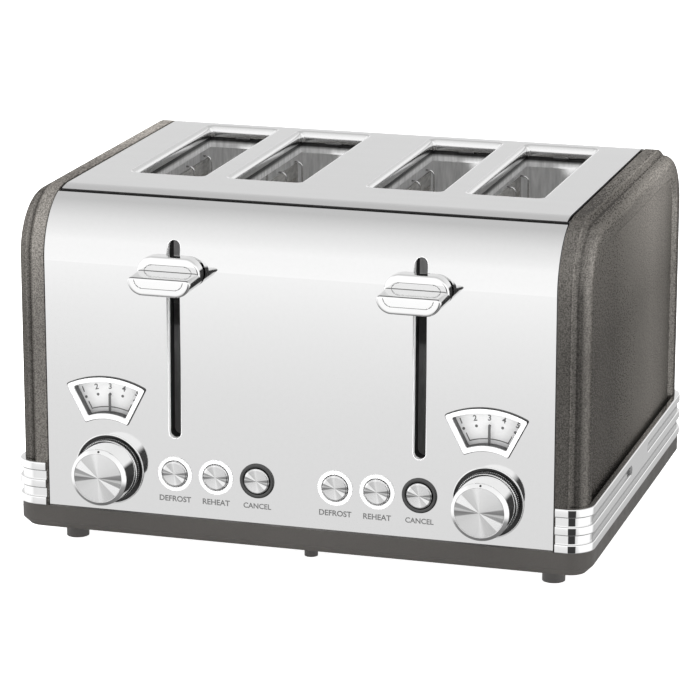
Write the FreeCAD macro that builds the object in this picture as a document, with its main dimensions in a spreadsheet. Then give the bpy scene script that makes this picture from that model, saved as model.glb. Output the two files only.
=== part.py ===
"""A four-slot pop-up toaster with two lever-driven lift carriages, as a parametric document.

Units are millimetres and degrees. +Z is up and the control panel faces -Y. The origin is on
the floor under the middle of the object's bounding box. "Depth" is the distance behind the
front steel face. Pieces of the right-hand half are drawn, and the left-hand ones mirror them.
"""
import FreeCAD, Part
import Sketcher
import math
import os
import re

doc = FreeCAD.newDocument("pop_up_toaster")

# ---------------------------------------------------------------- driving dimensions

SIZES = {
    # shell
    "front_face": -115, "rear_face": 133, "panel_base": 25.5, "panel_top": 203, "bend": 36.5,
    "sheet": 1, "panel_half": 144.6, "cover_start": 145, "cover_end": 161.9,
    "seam_angle": 71, "seam_half": 2.4, "seam_width": 1.5, "snug": 0.05,
    # side cover steps
    "strip_end": 152, "cove_drop": 4, "cover_round": 5.4, "rim_width": 17, "recess_depth": 2.6,
    "cover_wall": 2.2,
    # base and feet
    "base_half": 164.5, "base_proud": 1.6, "base_bottom": 12, "base_corner": 13, "base_bevel": 4,
    "base_wall": 3, "base_floor": 2.5, "foot_across": 138.9, "foot_depth": 27.6, "foot_radius": 6.4,
    "centre_foot_radius": 3.8, "centre_foot_bottom": 0.8,
    "screw_across": 132, "screw_front": 70, "screw_rear": 190, "screw_radius": 1.9,
    "screw_head": 3.6, "screw_head_drop": 1.8, "post_radius": 5, "screw_top": 30,
    # chrome trim band round each lower corner
    "band_start": 146, "band_end": 165.4, "band_proud": 2.5, "band_corner": 13.8,
    "band_stripe": 5, "groove_depth": 1.5, "badge_half": 20,
    # toast slots
    "inner_slot": 40.6, "outer_slot": 97.7, "slot_clear_half": 20.1, "slot_roll": 2.8,
    "slot_front": 72.6, "slot_rear": 206.2, "slot_corner": 2, "collar_drop": 5, "collar_sheet": 1,
    # levers
    "lever_across": 69.8, "lever_slot_half": 3.85, "lever_slot_low": 70.2, "lever_slot_high": 182.5,
    "lever_height": 165.7, "lever_arm_half": 1.6, "lever_arm_rise": 4, "lever_half_width": 18.2,
    "lever_half_height": 9.1, "lever_back": 1.6, "lever_step": 8.4, "lever_lip": 24,
    "lever_shelf": 10, "lever_root": 2,
    # browning controls
    "knob_across": 108.4, "knob_height": 49.8, "knob_proud": 19.5, "knob_face_radius": 16,
    "knob_base_radius": 17.3, "knob_tuck": 0.8, "knob_rim": 1.6, "collar_outer": 20,
    "collar_inner": 18, "collar_proud": 1.2, "shaft_radius": 3, "shaft_depth": 26,
    "gauge_height": 51.5, "gauge_inner": 27, "gauge_outer": 51.4, "gauge_angle": 27.2,
    "gauge_shift": 1.2, "bezel_width": 3, "bezel_proud": 1, "dial_depth": 5.4, "dial_sheet": 0.8,
    "dial_lap": 1.5, "needle_depth": 2.4, "needle_sheet": 0.7, "needle_half": 0.75, "needle_tip": 41,
    "needle_hub": 6,
    # push buttons
    "button_low": 22.4, "button_mid": 46.2, "button_high": 70.1, "button_height": 50.3,
    "ring_outer": 9.9, "ring_sleeve": 8.8, "ring_bore": 7.6, "ring_proud": 0.9,
    "sleeve_depth": 4, "button_radius": 7.3, "button_proud": 1.6, "button_depth": 6,
    "stem_radius": 2.5, "stem_depth": 12, "switch_depth": 14.2, "switch_half": 4,
    # chassis
    "chassis_half": 138, "floor_low": 26, "bulkhead_front": 62, "bulkhead_rear": 226,
    "bulkhead_top": 195, "rack_slot_half": 3, "frame_low": 195, "frame_front": 41,
    "frame_rear": 231, "frame_half": 138, "frame_flange": 5,
    # lift carriage, in its popped-up rest position
    "rod_depth": 50, "rod_radius": 3, "rod_bore": 3.05, "block_half": 8, "block_low": 140,
    "block_high": 176, "cross_low": 120, "cross_depth": 55.6, "cross_sheet": 3,
    "magnet_across": 84, "magnet_low": 27, "magnet_high": 46, "magnet_half": 7,
    "armature_low": 134.4, "armature_sheet": 3,
    "rack_low": 120.5, "rack_high": 126.5, "rack_half": 1, "rack_reach": 12, "rack_wire": 1,
    "rack_wires": 7, "rack_pitch": 19.5,
    "spring_radius": 4.6, "spring_wire": 0.6, "spring_low": 27.8, "spring_turns": 12,
    # bread guide cages
    "cage_offset": 18, "cage_pivot": 36, "cage_top": 187, "cage_wire": 1, "pivot_radius": 1.5,
    "pivot_hole": 1.58, "tie_height": 166, "cage_front": 74, "cage_pitch": 31,
    "cage_wires": 5, "cage_hook": 5,
    # heaters
    "board_inner": 13.5, "board_outer": 124.8, "board_sheet": 1, "board_low": 34,
    "board_high": 180, "board_front": 66, "board_rear": 223, "ribbon_rows": 7,
    "ribbon_width": 2.4, "ribbon_sheet": 0.3, "reflector_inner": 7, "reflector_outer": 131,
    "reflector_sheet": 0.6,
    # control boards
    "board_depth": 16, "pcb_sheet": 1.6, "pcb_low": 33, "pcb_high": 68, "pcb_near": 14,
    "pcb_far": 130, "pot_radius": 8, "pot_depth": 28,
    # crumb trays
    "tray_near": 17, "tray_far": 123, "tray_front": 60, "tray_low": 14.8, "tray_wall": 1,
    "tray_high": 21.5, "tray_gap": 1, "tray_mouth_high": 24, "tray_grip_rear": 139,
    "tray_grip_high": 23.6,
    # mains inlet
    "gland_height": 44, "gland_flange": 9, "gland_radius": 7, "gland_bore": 3.6,
    "gland_depth": 12, "gland_proud": 2,
}

sheet = doc.addObject("Spreadsheet::Sheet", "Sizes")
for row, (alias, number) in enumerate(SIZES.items(), start=1):
    sheet.set("A%d" % row, alias.replace("_", " "))
    sheet.set("B%d" % row, str(number))
    sheet.setAlias("B%d" % row, alias)
doc.recompute()

WORD = re.compile(r"\b[a-z][a-z_]*\b")


def bind(text):
    """Turn sheet aliases in a formula into references to the sheet."""
    return WORD.sub(lambda m: "Sizes." + m.group(0) if m.group(0) in SIZES else m.group(0), str(text))


def value(text):
    """The present number of a formula of sheet aliases."""
    return float(sheet.evalExpression(bind(text)))


# ---------------------------------------------------------------- shared formulas

ARC_HEIGHT = "panel_top - bend"
FRONT_ARC = "front_face + bend"
REAR_ARC = "rear_face - bend"
BAND_TOP = "panel_base + 5 * band_stripe"
FACE = "front_face"


def behind(depth):
    """Y of a point that lies a depth behind the front steel face."""
    return "front_face + %s" % depth


def add(first, second):
    return "(%s) + (%s)" % (first, second)


def less(first, second):
    return "(%s) - (%s)" % (first, second)


# ---------------------------------------------------------------- document helpers

nodes = {}


def node(label, piece):
    """Register a finished sub-part under the name of its file."""
    piece.Label = label
    nodes[label] = piece
    return piece


def place(piece, x, y, z, turn=None):
    if turn:
        piece.Placement = FreeCAD.Placement(FreeCAD.Vector(), turn)
    for axis, formula in zip("xyz", (x, y, z)):
        piece.setExpression("Placement.Base." + axis, bind(formula))


def block(x_low, x_high, y_low, y_high, z_low, z_high):
    """A box between two corners, each side a formula."""
    piece = doc.addObject("Part::Box", "Block")
    piece.setExpression("Length", bind(less(x_high, x_low)))
    piece.setExpression("Width", bind(less(y_high, y_low)))
    piece.setExpression("Height", bind(less(z_high, z_low)))
    place(piece, x_low, y_low, z_low)
    return piece


ALONG = {
    "x": FreeCAD.Rotation(FreeCAD.Vector(0, 1, 0), 90),
    "y": FreeCAD.Rotation(FreeCAD.Vector(1, 0, 0), -90),
    "z": None,
}


def rod(axis, x, y, z, radius, length):
    """A cylinder that starts at a point and runs along +axis."""
    piece = doc.addObject("Part::Cylinder", "Rod")
    piece.setExpression("Radius", bind(radius))
    piece.setExpression("Height", bind(length))
    place(piece, x, y, z, ALONG[axis])
    return piece


def cone(axis, x, y, z, first_radius, last_radius, length):
    piece = doc.addObject("Part::Cone", "Cone")
    piece.setExpression("Radius1", bind(first_radius))
    piece.setExpression("Radius2", bind(last_radius))
    piece.setExpression("Height", bind(length))
    place(piece, x, y, z, ALONG[axis])
    return piece


def join(*pieces):
    """One solid out of pieces that touch or overlap."""
    whole = doc.addObject("Part::MultiFuse", "Join")
    whole.Shapes = list(pieces)
    return whole


def cut(base, *tools):
    result = doc.addObject("Part::Cut", "Trim")
    result.Base = base
    result.Tool = tools[0] if len(tools) == 1 else join(*tools)
    return result


def gather(*pieces):
    """Separate solids that share one node."""
    group = doc.addObject("Part::Compound", "Group")
    group.Links = list(pieces)
    return group


def mirrored(piece):
    """The left-hand copy of a right-hand piece."""
    copy = doc.addObject("Part::Mirroring", "Mirror")
    copy.Source = piece
    copy.Normal = FreeCAD.Vector(1, 0, 0)
    return copy


def both_sides(piece):
    return gather(piece, mirrored(piece))


def start_body(name):
    return doc.addObject("PartDesign::Body", name)


def arc_centre(start, end, radius, turn):
    """Centre of the minor arc from start to end; turn is +1 for anticlockwise."""
    middle = (start + end) * 0.5
    chord = end - start
    rise = math.sqrt(max(radius * radius - chord.Length ** 2 / 4, 0))
    across = FreeCAD.Vector(-chord.y, chord.x, 0)
    across.normalize()
    return middle + across * (rise * turn)


def add_side(sketch, start, end, corner):
    """Add the side that leaves a corner; returns its index and its start and end vertex numbers."""
    if len(corner) == 2:
        return sketch.addGeometry(Part.LineSegment(start, end)), 1, 2
    radius, turn = value(corner[2]), corner[3]
    centre = arc_centre(start, end, radius, turn)
    first, last = (start, end) if turn > 0 else (end, start)
    low = math.atan2(first.y - centre.y, first.x - centre.x)
    high = math.atan2(last.y - centre.y, last.x - centre.x)
    circle = Part.Circle(centre, FreeCAD.Vector(0, 0, 1), radius)
    index = sketch.addGeometry(Part.ArcOfCircle(circle, low, high))
    return (index, 1, 2) if turn > 0 else (index, 2, 1)


def bound(sketch, constraint, formula):
    index = sketch.addConstraint(constraint)
    sketch.setExpression("Constraints[%d]" % index, bind(formula))


def draw_loop(sketch, corners):
    """A closed outline. A corner is (a, b) formulas, plus (radius, turn) where an arc leaves it."""
    points = [FreeCAD.Vector(value(c[0]), value(c[1]), 0) for c in corners]
    sides = []
    for number, corner in enumerate(corners):
        following = points[(number + 1) % len(points)]
        sides.append(add_side(sketch, points[number], following, corner))
    for number, corner in enumerate(corners):
        index, first, _ = sides[number]
        before, _, last = sides[number - 1]
        sketch.addConstraint(Sketcher.Constraint("Coincident", before, last, index, first))
        for kind, formula, number_now in (("DistanceX", corner[0], points[number].x),
                                          ("DistanceY", corner[1], points[number].y)):
            bound(sketch, Sketcher.Constraint(kind, -1, 1, index, first, number_now), formula)
        if len(corner) > 2:
            bound(sketch, Sketcher.Constraint("Radius", index, value(corner[2])), corner[2])


def draw_circle(sketch, across, up, radius):
    centre = FreeCAD.Vector(value(across), value(up), 0)
    index = sketch.addGeometry(Part.Circle(centre, FreeCAD.Vector(0, 0, 1), value(radius)))
    bound(sketch, Sketcher.Constraint("DistanceX", -1, 1, index, 3, centre.x), across)
    bound(sketch, Sketcher.Constraint("DistanceY", -1, 1, index, 3, centre.y), up)
    bound(sketch, Sketcher.Constraint("Radius", index, value(radius)), radius)


def sketch_on(body, role, offset, loops=(), circles=()):
    """A sketch on an origin plane of the body, moved along the plane's normal by offset."""
    plane = [f for f in body.Origin.OriginFeatures if f.Role == role][0]
    sketch = body.newObject("Sketcher::SketchObject", "Outline")
    sketch.AttachmentSupport = [(plane, "")]
    sketch.MapMode = "FlatFace"
    sketch.setExpression("AttachmentOffset.Base.z", bind(offset))
    for corners in loops:
        draw_loop(sketch, corners)
    for across, up, radius in circles:
        draw_circle(sketch, across, up, radius)
    return sketch


def pad(body, sketch, length, reverse=False):
    feature = body.newObject("PartDesign::Pad", "Pad")
    feature.Profile = sketch
    feature.Reversed = reverse
    feature.setExpression("Length", bind(length))
    return feature


def pocket(body, sketch, length, reverse=False):
    """Cut along the sketch's negative normal, or along the normal if reverse is set."""
    doc.recompute()
    before = body.Shape.Volume
    feature = body.newObject("PartDesign::Pocket", "Pocket")
    feature.Profile = sketch
    feature.Reversed = reverse
    feature.setExpression("Length", bind(length))
    doc.recompute()
    if body.Shape.Volume > before - 0.01:
        raise RuntimeError("a pocket in %s cuts nothing" % body.Name)
    return feature


def front_pocket(body, depth, loops=(), circles=()):
    """Cut from ahead of the front face to a depth behind it, in the front view (X, Z)."""
    lead = 10
    sketch = sketch_on(body, "XZ_Plane", "%d - front_face" % lead, loops, circles)
    return pocket(body, sketch, "%d + %s" % (lead, depth))


def dress(body, kind, size_name, formula, wanted):
    """Fillet or chamfer the edges of the body's tip that the test picks."""
    doc.recompute()
    tip = body.Tip
    names = ["Edge%d" % (i + 1) for i, edge in enumerate(tip.Shape.Edges) if wanted(edge)]
    feature = body.newObject("PartDesign::" + kind, kind)
    feature.Base = (tip, names)
    feature.setExpression(size_name, bind(formula))
    doc.recompute()
    if "Invalid" in feature.State or not names:
        raise RuntimeError("%s in %s fails on %d edges" % (kind, body.Name, len(names)))
    return feature


def close_to(first, formula, slack=0.01):
    return abs(first - value(formula)) < slack


# ---------------------------------------------------------------- outlines

def rectangle(left, right, low, high):
    return [(left, low), (right, low), (right, high), (left, high)]


def rounded(left, right, low, high, radius):
    """Rectangle with rounded corners, anticlockwise."""
    return [
        (add(left, radius), low), (less(right, radius), low, radius, 1),
        (right, add(low, radius)), (right, less(high, radius), radius, 1),
        (less(right, radius), high), (add(left, radius), high, radius, 1),
        (left, less(high, radius)), (left, add(low, radius), radius, 1),
    ]


def stadium_upright(centre, low, high, half):
    """Upright slot outline with round ends, each end two quarter arcs."""
    left, right = less(centre, half), add(centre, half)
    return [
        (left, less(high, half)), (left, add(low, half), half, 1), (centre, low, half, 1),
        (right, add(low, half)), (right, less(high, half), half, 1), (centre, high, half, 1),
    ]


def stadium_level(centre, height, half_width, half_height):
    """Lying slot outline with round ends, each end two quarter arcs."""
    low, high = less(height, half_height), add(height, half_height)
    inner_left = add(less(centre, half_width), half_height)
    inner_right = less(add(centre, half_width), half_height)
    return [
        (inner_left, low), (inner_right, low, half_height, 1),
        (add(centre, half_width), height, half_height, 1), (inner_right, high),
        (inner_left, high, half_height, 1), (less(centre, half_width), height, half_height, 1),
    ]


def on_bend(angle, inset, rear=False):
    """A point of the shell's bend, in (Y, Z), at an angle above the horizontal."""
    radius = "(bend - (%s))" % inset
    out = "%s * cos((%s) * 1 deg)" % (radius, angle)
    up = add(ARC_HEIGHT, "%s * sin((%s) * 1 deg)" % (radius, angle))
    return (add(REAR_ARC, out) if rear else less(FRONT_ARC, out)), up


def end_panel(near, far, low, angle):
    """Side view of a front sheet between two insets, up to an angle round the bend."""
    tip, inner_tip = on_bend(angle, near), on_bend(angle, far)
    return [
        (add(FACE, far), low), (add(FACE, near), low),
        (add(FACE, near), ARC_HEIGHT, less("bend", near), -1), tip,
        (inner_tip[0], inner_tip[1], less("bend", far), 1), (add(FACE, far), ARC_HEIGHT),
    ]


def top_strip(near, far, angle):
    """Side view of a sheet that runs over the top from bend to bend between two insets."""
    front, front_in = on_bend(angle, near), on_bend(angle, far)
    rear, rear_in = on_bend(angle, near, True), on_bend(angle, far, True)
    return [
        (front[0], front[1], less("bend", near), -1), (FRONT_ARC, less("panel_top", near)),
        (REAR_ARC, less("panel_top", near), less("bend", near), -1), rear,
        (rear_in[0], rear_in[1], less("bend", far), 1), (REAR_ARC, less("panel_top", far)),
        (FRONT_ARC, less("panel_top", far), less("bend", far), 1), front_in,
    ]


def hood(inset, low):
    """Side view of the whole shell at an inset, closed along a level line."""
    front, rear = add(FACE, inset), less("rear_face", inset)
    return [
        (front, low), (front, ARC_HEIGHT, less("bend", inset), -1),
        (FRONT_ARC, less("panel_top", inset)), (REAR_ARC, less("panel_top", inset), less("bend", inset), -1),
        (rear, ARC_HEIGHT), (rear, low),
    ]


def gauge_sector(inset, side="+"):
    """Front view of a gauge window, a ring sector at an even inset, on the right or to be mirrored.

    Both windows lie a little to the left of their needle's axis.
    """
    middle = "(knob_across - gauge_shift)" if side == "+" else "(knob_across + gauge_shift)"
    near, far = "(gauge_inner + (%s))" % inset, "(gauge_outer - (%s))" % inset
    sine, cosine = "sin(gauge_angle * 1 deg)", "cos(gauge_angle * 1 deg)"

    def corner(radius, side):
        along = "sqrt(%s * %s - (%s) * (%s))" % (radius, radius, inset, inset)
        across = "(%s * %s - (%s) * %s)" % (along, sine, inset, cosine)
        up = add("gauge_height", "%s * %s + (%s) * %s" % (along, cosine, inset, sine))
        return "%s %s %s" % (middle, side, across), up

    return [
        corner(near, "+") + (near, 1), corner(near, "-"),
        corner(far, "-") + (far, -1), corner(far, "+"),
    ]


def band_line(inset):
    """Plan of a line that wraps both right-hand corners, an inset inside the trim band's ribs."""
    front = less(less(FACE, "band_proud"), "-(%s)" % inset)
    rear = less(add("rear_face", "band_proud"), inset)
    side = less("band_end", inset)
    corner = "band_end - band_corner"
    turn_front = add(less(FACE, "band_proud"), "band_corner")
    turn_rear = less(add("rear_face", "band_proud"), "band_corner")
    radius = less("band_corner", inset)
    return {
        "ahead": [
            (corner, front, radius, 1), (side, turn_front),
            (side, turn_rear, radius, 1), (corner, rear),
        ],
        "back": [
            (corner, rear, radius, -1), (side, turn_rear),
            (side, turn_front, radius, -1), (corner, front),
        ],
        "front": front, "rear": rear,
    }


def band_plan(outer, inner, start):
    """Closed plan between two insets of the trim band."""
    out, back = band_line(outer), band_line(inner)
    return [(start, out["front"])] + out["ahead"] + [(start, out["rear"]), (start, back["rear"])] \
        + back["back"] + [(start, back["front"])]


# ---------------------------------------------------------------- shell

SIDES = ("+", "-")


def signed(side, formula):
    return formula if side == "+" else "-(%s)" % formula


BUTTONS = ("button_low", "button_mid", "button_high")
TOAST_SLOTS = ("inner_slot", "outer_slot")


def lever_slot_outline(side, half):
    return stadium_upright(signed(side, "lever_across"), "lever_slot_low", "lever_slot_high", half)


def side_of(corners, side):
    """Mirror an outline in the front view for the left-hand side."""
    if side == "+":
        return corners
    return [("-(%s)" % c[0], c[1]) + ((c[2], -c[3]) if len(c) > 2 else ()) for c in corners]


def make_front_panel():
    body = start_body("FrontPanel")
    outline = end_panel("0", "sheet", "panel_base", "seam_angle - seam_half")
    sketch = sketch_on(body, "YZ_Plane", "-panel_half", [outline])
    pad(body, sketch, "2 * panel_half")
    loops = []
    circles = []
    for side in SIDES:
        loops.append(lever_slot_outline(side, "lever_slot_half"))
        loops.append(side_of(gauge_sector("sheet", side), side))
        circles.append((signed(side, "knob_across"), "knob_height", "collar_outer - 1"))
        for place_name in BUTTONS:
            circles.append((signed(side, place_name), "button_height", "ring_sleeve + snug"))
    front_pocket(body, "bend * 0.4", loops, circles)
    node("front_panel", body)


def make_rear_panel():
    """The front panel's outline turned about, with a hole for the cord."""
    body = start_body("RearPanel")
    outline = []
    for along, up, *bend in end_panel("0", "sheet", "panel_base", "seam_angle - seam_half"):
        turned = (bend[0], -bend[1]) if bend else ()
        outline.append(("rear_face + front_face - (%s)" % along, up) + turned)
    pad(body, sketch_on(body, "YZ_Plane", "-panel_half", [outline]), "2 * panel_half")
    hole = sketch_on(body, "XZ_Plane", "-rear_face + 10", (), [("0", "gland_height", "gland_radius + snug")])
    pocket(body, hole, "20")
    node("rear_panel", body)


def slot_plan(centre, grow, corner):
    return rounded(
        less(centre, "slot_clear_half + %s" % grow), add(centre, "slot_clear_half + %s" % grow),
        behind("slot_front - %s" % grow), behind("slot_rear + %s" % grow), corner)


def slot_centres():
    return [signed(side, name) for side in SIDES for name in TOAST_SLOTS]


def make_top_plate():
    body = start_body("TopPlate")
    outline = top_strip("0", "sheet", "seam_angle + seam_half")
    half = "(cover_start - seam_width)"
    pad(body, sketch_on(body, "YZ_Plane", "-%s" % half, [outline]), "2 * %s" % half)
    for grow, height in (("collar_sheet", "collar_drop"), ("slot_roll", "slot_roll + sheet")):
        for centre in slot_centres():
            ring = sketch_on(body, "XY_Plane", less("panel_top", height),
                             [slot_plan(centre, grow, "slot_corner + %s" % grow)])
            pad(body, ring, height)
    for centre in slot_centres():
        opening = sketch_on(body, "XY_Plane", "panel_top + 1", [slot_plan(centre, "0", "slot_corner")])
        pocket(body, opening, "collar_drop + 2")

    def rim(edge):
        box = edge.BoundBox
        if not (close_to(box.ZMin, "panel_top") and close_to(box.ZMax, "panel_top")):
            return False
        middle = edge.valueAt((edge.FirstParameter + edge.LastParameter) / 2)
        return any(abs(middle.x - value(c)) < value("slot_clear_half + 0.1")
                   and value(behind("slot_front - 0.1")) < middle.y < value(behind("slot_rear + 0.1"))
                   for c in slot_centres())

    dress(body, "Fillet", "Radius", "slot_roll - 0.1", rim)
    node("top_plate", body)


def make_top_gasket():
    """Black frame under the seams between the panels, the top plate and the side covers."""
    body = start_body("TopGasket")
    outline = top_strip("sheet + snug", "sheet + 1.2", "seam_angle - 5")
    pad(body, sketch_on(body, "YZ_Plane", "-(panel_half + 0.3)", [outline]), "2 * (panel_half + 0.3)")
    window = rectangle("-(panel_half - 6)", "panel_half - 6", behind("bend - 8"), "rear_face - bend + 8")
    pocket(body, sketch_on(body, "XY_Plane", "panel_top + 5", [window]), "30")
    node("top_gasket", body)


def make_side_covers():
    body = start_body("RightCover")
    low = "panel_base"
    slope = "(cove_drop - 0.5)"
    pad(body, sketch_on(body, "YZ_Plane", "cover_start", [hood("0", low)]),
        "strip_end + %s - cover_start" % slope)

    def edge_at(across):
        """Picks the hood-shaped edge at one X, without its level bottom run."""
        def wanted(edge):
            box = edge.BoundBox
            return close_to(box.XMin, across) and close_to(box.XMax, across) and box.ZMax > value(low) + 1
        return wanted

    dress(body, "Chamfer", "Size", slope, edge_at("strip_end + %s" % slope))
    pad(body, sketch_on(body, "YZ_Plane", "strip_end", [hood("cove_drop", low)]), "cover_end - strip_end")
    dress(body, "Fillet", "Radius", "cover_round", edge_at("cover_end"))
    recess = sketch_on(body, "YZ_Plane", "cover_end + 1", [hood("rim_width", "panel_base - 5")])
    pocket(body, recess, "recess_depth + 1")
    shallow = sketch_on(body, "YZ_Plane", "cover_start - 1", [hood("cover_wall", "panel_base - 5")])
    pocket(body, shallow, "strip_end - cover_start - cover_wall + 1", True)
    deep = sketch_on(body, "YZ_Plane", "cover_start - 1", [hood("cove_drop + cover_wall", "panel_base - 5")])
    pocket(body, deep, "cover_end - recess_depth - cover_wall - cover_start + 1", True)
    zone = sketch_on(body, "XY_Plane", "%s + 0.2" % BAND_TOP,
                     [band_plan("-6", "band_proud + 0.1", "band_start")])
    pocket(body, zone, "5 * band_stripe + 5")
    node("right_side_cover", body)
    node("left_side_cover", mirrored(body))


def make_trim_bands():
    """Chrome band of three ribs and two grooves; the upper groove stops at a blank plate."""
    body = start_body("RightBand")
    pad(body, sketch_on(body, "XY_Plane", "panel_base", [band_plan("0", "band_proud", "band_start")]),
        "5 * band_stripe")
    lower = sketch_on(body, "XY_Plane", "panel_base + 2 * band_stripe",
                      [band_plan("-3", "groove_depth", "band_start - 1")])
    pocket(body, lower, "band_stripe")
    middle = "((front_face + rear_face) / 2)"
    out, back = band_line("-3"), band_line("groove_depth")
    front_half = [("band_start - 1", out["front"]), out["ahead"][0], (out["ahead"][1][0], out["ahead"][1][1]),
                  (out["ahead"][1][0], less(middle, "badge_half")),
                   (back["ahead"][1][0], less(middle, "badge_half")),
                  back["back"][2], back["back"][3], ("band_start - 1", back["front"])]
    rear_half = [("band_start - 1", out["rear"]), out["back"][0], (out["back"][1][0], out["back"][1][1]),
                 (out["back"][1][0], add(middle, "badge_half")),
                  (back["back"][1][0], add(middle, "badge_half")),
                 back["ahead"][2], back["ahead"][3], ("band_start - 1", back["rear"])]
    upper = sketch_on(body, "XY_Plane", "panel_base + 4 * band_stripe", [front_half, rear_half])
    pocket(body, upper, "band_stripe")
    node("right_trim_band", body)
    node("left_trim_band", mirrored(body))


# ---------------------------------------------------------------- base

def screw_places():
    return [(across, depth) for across in ("-screw_across", "0", "screw_across")
            for depth in ("screw_front", "screw_rear")]


def make_base_pan():
    body = start_body("BasePan")
    front, rear = "front_face - base_proud", "rear_face + base_proud"
    plan = rounded("-base_half", "base_half", front, rear, "base_corner")
    pad(body, sketch_on(body, "XY_Plane", "base_bottom", [plan]), "panel_base - base_bottom")

    def bottom_edge(edge):
        box = edge.BoundBox
        return close_to(box.ZMax, "base_bottom") and close_to(box.ZMin, "base_bottom")

    dress(body, "Chamfer", "Size", "base_bevel", bottom_edge)
    hollow = rounded("-base_half + base_wall", "base_half - base_wall", add(front, "base_wall"),
                     less(rear, "base_wall"), "base_corner - base_wall")
    pocket(body, sketch_on(body, "XY_Plane", "panel_base + 1", [hollow]),
           "panel_base - base_bottom - base_floor + 1")
    posts = sketch_on(body, "XY_Plane", "base_bottom + base_floor - 0.5", (),
                      [(across, behind(depth), "post_radius") for across, depth in screw_places()])
    pad(body, posts, "floor_low - base_bottom - base_floor + 0.5")
    holes = sketch_on(body, "XY_Plane", "floor_low + 1", (),
                      [(across, behind(depth), "screw_radius + snug") for across, depth in screw_places()])
    pocket(body, holes, "floor_low - base_bottom + 2")
    mouths = [side_of(rectangle("tray_near - tray_gap", "tray_far + tray_gap",
                                "base_bottom + base_floor", "tray_mouth_high"), side) for side in SIDES]
    pocket(body, sketch_on(body, "XZ_Plane", "-(rear_face - base_wall)", mouths), "2 * base_wall")
    node("base_pan", body)


def make_feet():
    feet = [rod("z", signed(side, "foot_across"), depth, "0", "foot_radius", "base_bottom")
            for side in SIDES for depth in (behind("foot_depth"), "rear_face - foot_depth")]
    node("corner_feet", gather(*feet))
    stubs = [rod("z", "0", depth, "centre_foot_bottom", "centre_foot_radius",
                 "base_bottom - centre_foot_bottom")
             for depth in (behind("foot_depth"), "rear_face - foot_depth")]
    node("centre_feet", gather(*stubs))


def make_base_screws():
    screws = []
    for across, depth in screw_places():
        head = rod("z", across, behind(depth), "base_bottom - screw_head_drop", "screw_head",
                   "screw_head_drop")
        shank = rod("z", across, behind(depth), "base_bottom", "screw_radius", "screw_top - base_bottom")
        screws.append(join(head, shank))
    node("base_screws", gather(*screws))


# ---------------------------------------------------------------- front fittings

def make_gauges():
    """Bezels with a sleeve that lines the window, and dials some way down behind the needles."""
    bezels = []
    dials = []
    for side in SIDES:
        outer, inner = gauge_sector("0", side), gauge_sector("bezel_width", side)
        bezel = start_body("Bezel")
        lip = sketch_on(bezel, "XZ_Plane", "bezel_proud - front_face", [outer, inner])
        pad(bezel, lip, "bezel_proud", True)
        sleeve = sketch_on(bezel, "XZ_Plane", "bezel_proud - front_face",
                           [gauge_sector("sheet + snug", side), inner])
        pad(bezel, sleeve, "bezel_proud + sheet", True)
        dial = start_body("Dial")
        face = sketch_on(dial, "XZ_Plane", "-(front_face + dial_depth)", [gauge_sector("-dial_lap", side)])
        pad(dial, face, "dial_sheet", True)
        bezels.append(bezel if side == "+" else mirrored(bezel))
        dials.append(dial if side == "+" else mirrored(dial))
    node("gauge_bezels", gather(*bezels))
    node("gauge_dials", gather(*dials))


def make_knob_collars():
    centre = ("knob_across", "knob_height")
    lip = rod("y", centre[0], "front_face - collar_proud", centre[1], "collar_outer", "collar_proud")
    sleeve = rod("y", centre[0], FACE, centre[1], "collar_outer - 1 - snug", "sheet")
    bore = rod("y", centre[0], "front_face - 5", centre[1], "collar_inner", "10")
    node("knob_collars", both_sides(cut(join(lip, sleeve), bore)))


def make_button_rings():
    def ring(across):
        lip = rod("y", across, "front_face - ring_proud", "button_height", "ring_outer", "ring_proud")
        sleeve = rod("y", across, FACE, "button_height", "ring_sleeve", "sleeve_depth")
        bore = rod("y", across, "front_face - 5", "button_height", "ring_bore", "20")
        return cut(join(lip, sleeve), bore)

    # from left to right each side has defrost, reheat and cancel
    lit = ("-button_high", "-button_mid", "button_low", "button_mid")
    node("function_button_rings", gather(*[ring(across) for across in lit]))
    node("cancel_button_rings", gather(*[ring(across) for across in ("-button_low", "button_high")]))


def make_lever_slot_liners():
    body = start_body("RightLiner")
    outline = end_panel("sheet + snug", "sheet + 1.6", "lever_slot_low - 4", "35")
    pad(body, sketch_on(body, "YZ_Plane", "lever_across - 7", [outline]), "14")
    front_pocket(body, "bend * 0.4", [lever_slot_outline("+", "lever_slot_half - 0.3")])
    node("lever_slot_liners", both_sides(body))


# ---------------------------------------------------------------- moving controls

def make_browning_controls():
    knob = cone("y", "knob_across", "front_face - knob_proud", "knob_height", "knob_face_radius",
                "knob_base_radius", "knob_proud + knob_tuck")
    dish = rod("y", "knob_across", "front_face - knob_proud", "knob_height",
               "knob_face_radius - knob_rim", "0.4")
    bore = rod("y", "knob_across", "front_face - 12", "knob_height", "shaft_radius", "20")
    knob = cut(knob, dish, bore)
    node("right_browning_knob", knob)
    node("left_browning_knob", mirrored(knob))
    shaft = rod("y", "knob_across", "front_face - 12", "knob_height", "shaft_radius", "shaft_depth + 12")
    node("right_knob_shaft", shaft)
    node("left_knob_shaft", mirrored(shaft))
    hub = rod("y", "knob_across", behind("needle_depth"), "knob_height", "needle_hub", "needle_sheet")
    arm = block("knob_across - needle_half", "knob_across + needle_half", behind("needle_depth"),
                behind("needle_depth + needle_sheet"), "knob_height", "knob_height + needle_tip")
    hole = rod("y", "knob_across", FACE, "knob_height", "shaft_radius", "5")
    needle = cut(join(hub, arm), hole)
    node("right_gauge_needle", needle)
    node("left_gauge_needle", mirrored(needle))


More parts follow.
